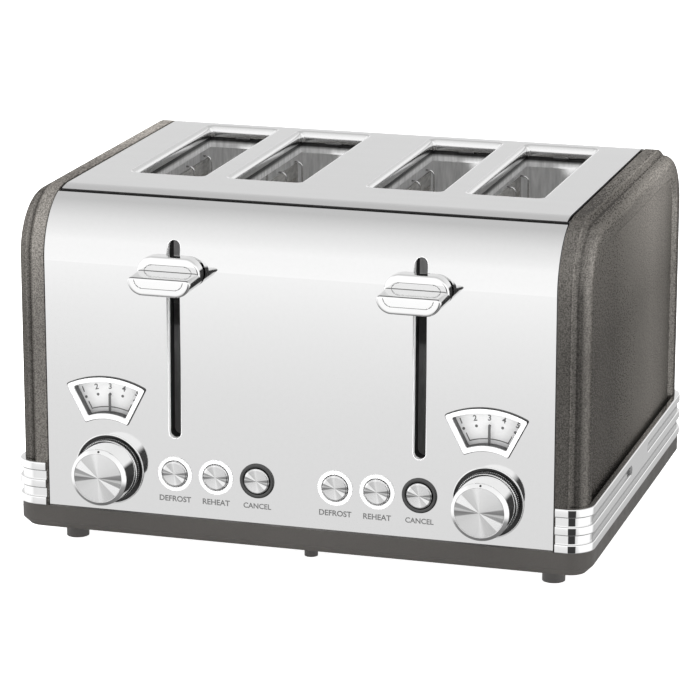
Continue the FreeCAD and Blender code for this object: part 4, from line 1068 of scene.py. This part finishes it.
def make_guide_cages():
    for number in range(1, 9):
        node = f"guide_cage_{number}"
        low, high = extent(node)
        odd = number % 2 == 1
        x = high.x - CAGE_WIRE if odd else low.x + CAGE_WIRE
        reach = -1 if odd else 1
        foot = low.z + 1.5
        top = high.z
        first = FRONT + CAGE_FRONT
        bend = arc((x + reach * CAGE_BEND, top - 1.0 - CAGE_BEND), CAGE_BEND, 0 if odd else 180, 90, 6)
        routes = []
        for y in (first + k * CAGE_PITCH for k in range(CAGE_WIRES)):
            routes.append([(x, y, foot), (x, y, top - 6)] + [(u, y, v) for u, v in bend]
                          + [(x + reach * 4.9, y, top - 1.0)])
        routes.append([(x, first - 4, CAGE_TIE), (x, y + 4, CAGE_TIE)])
        cage = tube(node + "_wires", routes, CAGE_WIRE * 0.55)
        axle = tube(node + "_axle", [[(x, low.y + 0.1, foot), (x, high.y - 0.1, foot)]], AXLE_RADIUS)
        finish(cage, "wire_steel", node, [node], sharp=60)
        finish(axle, "plated_steel", node, sharp=60)


SPRING_TURNS = 12
SPRING_WIRE = 0.6
TURN_STEPS = 20


def make_lift_springs():
    """Compression springs under the carriages, which shorten as a lever goes down."""
    for side in SIDES:
        node = side + "_lift_spring"
        low, high = extent(node)
        x, y = (low.x + high.x) / 2, (low.y + high.y) / 2
        radius = (high.y - low.y) / 2 - SPRING_WIRE
        start, end = low.z + SPRING_WIRE, high.z - SPRING_WIRE
        steps = SPRING_TURNS * TURN_STEPS
        route = []
        for step in range(steps + 1):
            angle = 2 * math.pi * step / TURN_STEPS
            z = start + (end - start) * step / steps
            route.append((x + radius * math.cos(angle), y + radius * math.sin(angle), z))
        spring = tube(node + "_coil", [route], SPRING_WIRE * 0.96)
        finish(spring, "wire_steel", replaces=[node], sharp=60)
        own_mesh(spring)


# ---- CAD nodes that stay

KEPT = {
    "polished_steel": ["rear_panel"],
    # these walls take the glowing wall finish: painted light and shade
    "inner_steel_painted_light": ["front_bulkhead", "rear_bulkhead", "reflectors", "slot_frame"],
    "base_plastic": ["base_pan"],
    "foot_rubber": ["corner_feet", "centre_feet"],
    "black_rubber": ["top_gasket", "cord_gland"],
    "black_plastic": ["lever_slot_liners"],
    "plated_steel": ["base_screws", "chassis_floor", "left_carriage", "right_carriage", "left_knob_shaft",
                     "right_knob_shaft", "guide_rods", "left_crumb_tray", "right_crumb_tray"],
    "wire_steel": ["left_bread_rack", "right_bread_rack"],
    "mica": ["heater_boards"],
    "nichrome": ["heater_ribbons"],
    "circuit_board": ["control_boards"],
    "component": ["switches_and_potentiometers", "magnets"],
}


def dress_kept_nodes():
    for finish_name, names in KEPT.items():
        for name in names:
            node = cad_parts[name]
            if not node.material_slots:
                node.data.materials.append(FINISHES[finish_name])
            for slot in node.material_slots:
                slot.material = FINISHES[finish_name]


# ---- floor, light and camera

SKY = [  # angle in degrees up from level in front, and brightness
    (-180, 0.9), (-172, 0.62), (-160, 0.56), (-120, 0.3), (-90, 0.16), (-45, 0.4), (-24, 0.82),
    (-18, 0.885), (-17, 0.9), (-16.4, 0.955), (-15.8, 1.0), (-15.2, 1.045), (-14.8, 1.085),
    (-14.5, 1.165), (-14.2, 1.205), (-13.9, 1.215), (-12, 1.185), (6, 1.17), (26, 1.16), (46, 1.04),
    (66, 0.94), (86, 0.8), (106, 0.66), (135, 0.66), (152, 0.68), (163, 0.8), (168, 1.05), (180, 1.12),
]
SKY_LIMIT = 1.35
SIDE_GLOW = [(-1, 0.25), (-0.6, 0.3), (-0.42, 1.0), (-0.3, 1.18), (0.6, 1.15), (1, 0.8)]  # height, brightness
FLAGS = ((-122.0, -90.0), (1.0, 36.0))  # angles round the object, in degrees
FLAG_EDGE = 1.0
FLAG_DARK = 0.05
FLAG_HEIGHT = [(-180, 0.0), (-60, 0.0), (-50, 1.0), (4, 1.0), (12, 0.0)]


def share_of_turn(angle):
    """An angle in degrees as 0 to 1 from half a turn behind to half a turn ahead."""
    return (angle + 180) / 360


def turn_node(tree, up, ahead):
    """The same share, of the angle between two outputs."""
    angle = math_node(tree, "ARCTAN2", up, ahead)
    return math_node(tree, "ADD", math_node(tree, "DIVIDE", angle, 2 * math.pi), 0.5)


def mix(tree, factor, first, second, blend="MIX"):
    made = tree.nodes.new("ShaderNodeMix")
    made.data_type = "RGBA"
    made.blend_type = blend
    for index, source in ((0, factor), (6, first), (7, second)):
        connect(tree, made.inputs[index], source)
    return made.outputs[2]


def make_sky():
    """Soft light from all round, dimmer overhead, with two dark flags, and plain white for the camera."""
    world = bpy.data.worlds.new("studio")
    bpy.context.scene.world = world
    world.use_nodes = True
    tree = world.node_tree
    tree.nodes.clear()
    place = split(tree, "Generated")
    ahead = math_node(tree, "MULTIPLY", place["Y"], -1.0)
    rise, turn = turn_node(tree, place["Z"], ahead), turn_node(tree, place["X"], ahead)
    glow = ramp(tree, rise, [(share_of_turn(a), v / SKY_LIMIT) for a, v in SKY])
    aside = tree.nodes.new("ShaderNodeMapRange")
    feed(tree, aside, {"Value": math_node(tree, "ABSOLUTE", place["X"]), "From Min": 0.6, "From Max": 0.8})
    level = math_node(tree, "ADD", math_node(tree, "MULTIPLY", place["Z"], 0.5), 0.5)
    side_glow = ramp(tree, level, [((z + 1) / 2, v / SKY_LIMIT) for z, v in SIDE_GLOW])
    around = mix(tree, aside.outputs["Result"], glow, side_glow)
    edges = []
    for left, right in FLAGS:
        edges += [(left - FLAG_EDGE, 1.0), (left, FLAG_DARK), (right, FLAG_DARK), (right + FLAG_EDGE, 1.0)]
    flag = ramp(tree, turn, [(share_of_turn(a), v) for a, v in edges])
    height = ramp(tree, rise, [(share_of_turn(a), v) for a, v in FLAG_HEIGHT])
    shade = mix(tree, height, (1, 1, 1, 1), flag)
    lit = tree.nodes.new("ShaderNodeBackground")
    feed(tree, lit, {"Color": mix(tree, 1.0, around, shade, "MULTIPLY"), "Strength": SKY_LIMIT})
    white = tree.nodes.new("ShaderNodeBackground")
    white.inputs["Color"].default_value = (1, 1, 1, 1)
    rays = tree.nodes.new("ShaderNodeLightPath")
    choice = tree.nodes.new("ShaderNodeMixShader")
    out = tree.nodes.new("ShaderNodeOutputWorld")
    sources = (rays.outputs["Is Camera Ray"], lit.outputs[0], white.outputs[0])
    for socket, source in zip(choice.inputs, sources):
        tree.links.new(source, socket)
    tree.links.new(choice.outputs[0], out.inputs[0])


FLOOR_RADIUS = 4000.0


def make_floor():
    points = [(u, v, 0.0) for u, v in disc(0, 0, FLOOR_RADIUS)]
    floor = mesh_piece("floor", points, [list(range(len(points)))])
    if floor.data.polygons[0].normal.z < 0:
        floor.data.flip_normals()
    made, tree, shader = new_material("floor")
    shade = ramp(tree, noise(tree, 6.0), [(0.3, 0.86), (0.7, 0.88)])
    feed(tree, shader, {"Base Color": shade, "Roughness": 0.9, "Specular IOR Level": 0.0,
                        "Emission Color": (1, 1, 1, 1), "Emission Strength": 0.95})
    floor.data.materials.append(made)
    floor.visible_glossy = False


def make_lamp():
    """A soft overhead panel that reaches down into the toast slots."""
    light = bpy.data.lights.new("overhead", "AREA")
    light.shape = "RECTANGLE"
    light.size = 0.7
    light.size_y = 0.4
    light.energy = 22.0
    lamp = add_object("overhead", light)
    lamp.visible_glossy = False
    lamp.location = (0, -0.1, 1.3)


CAMERA_AZIMUTH = 16.662
CAMERA_ELEVATION = 15.203
CAMERA_DISTANCE = 1.9858
CAMERA_TARGET = Vector((-0.0021, -0.005, 0.0977))
CAMERA_LENS = 178.24


def make_camera():
    camera = add_object("camera", bpy.data.cameras.new("camera"))
    turn, rise = math.radians(CAMERA_AZIMUTH), math.radians(CAMERA_ELEVATION)
    back = Vector((math.sin(turn) * math.cos(rise), -math.cos(turn) * math.cos(rise), math.sin(rise)))
    camera.location = CAMERA_TARGET + back * CAMERA_DISTANCE
    camera.rotation_euler = (-back).to_track_quat("-Z", "Y").to_euler()
    camera.data.lens = CAMERA_LENS
    camera.data.sensor_width = 36.0
    camera.data.clip_start = 0.05
    camera.data.clip_end = 20.0
    bpy.context.scene.camera = camera
    bpy.context.scene.view_settings.view_transform = "Standard"


make_front_skin()
make_lever_slots()
make_top()
make_seam()
make_side_covers()
make_trim_bands()
make_knobs()
make_gauges()
make_buttons()
make_lever_knobs()
make_guide_cages()
make_lift_springs()
dress_kept_nodes()
make_sky()
make_floor()
make_lamp()
make_camera()
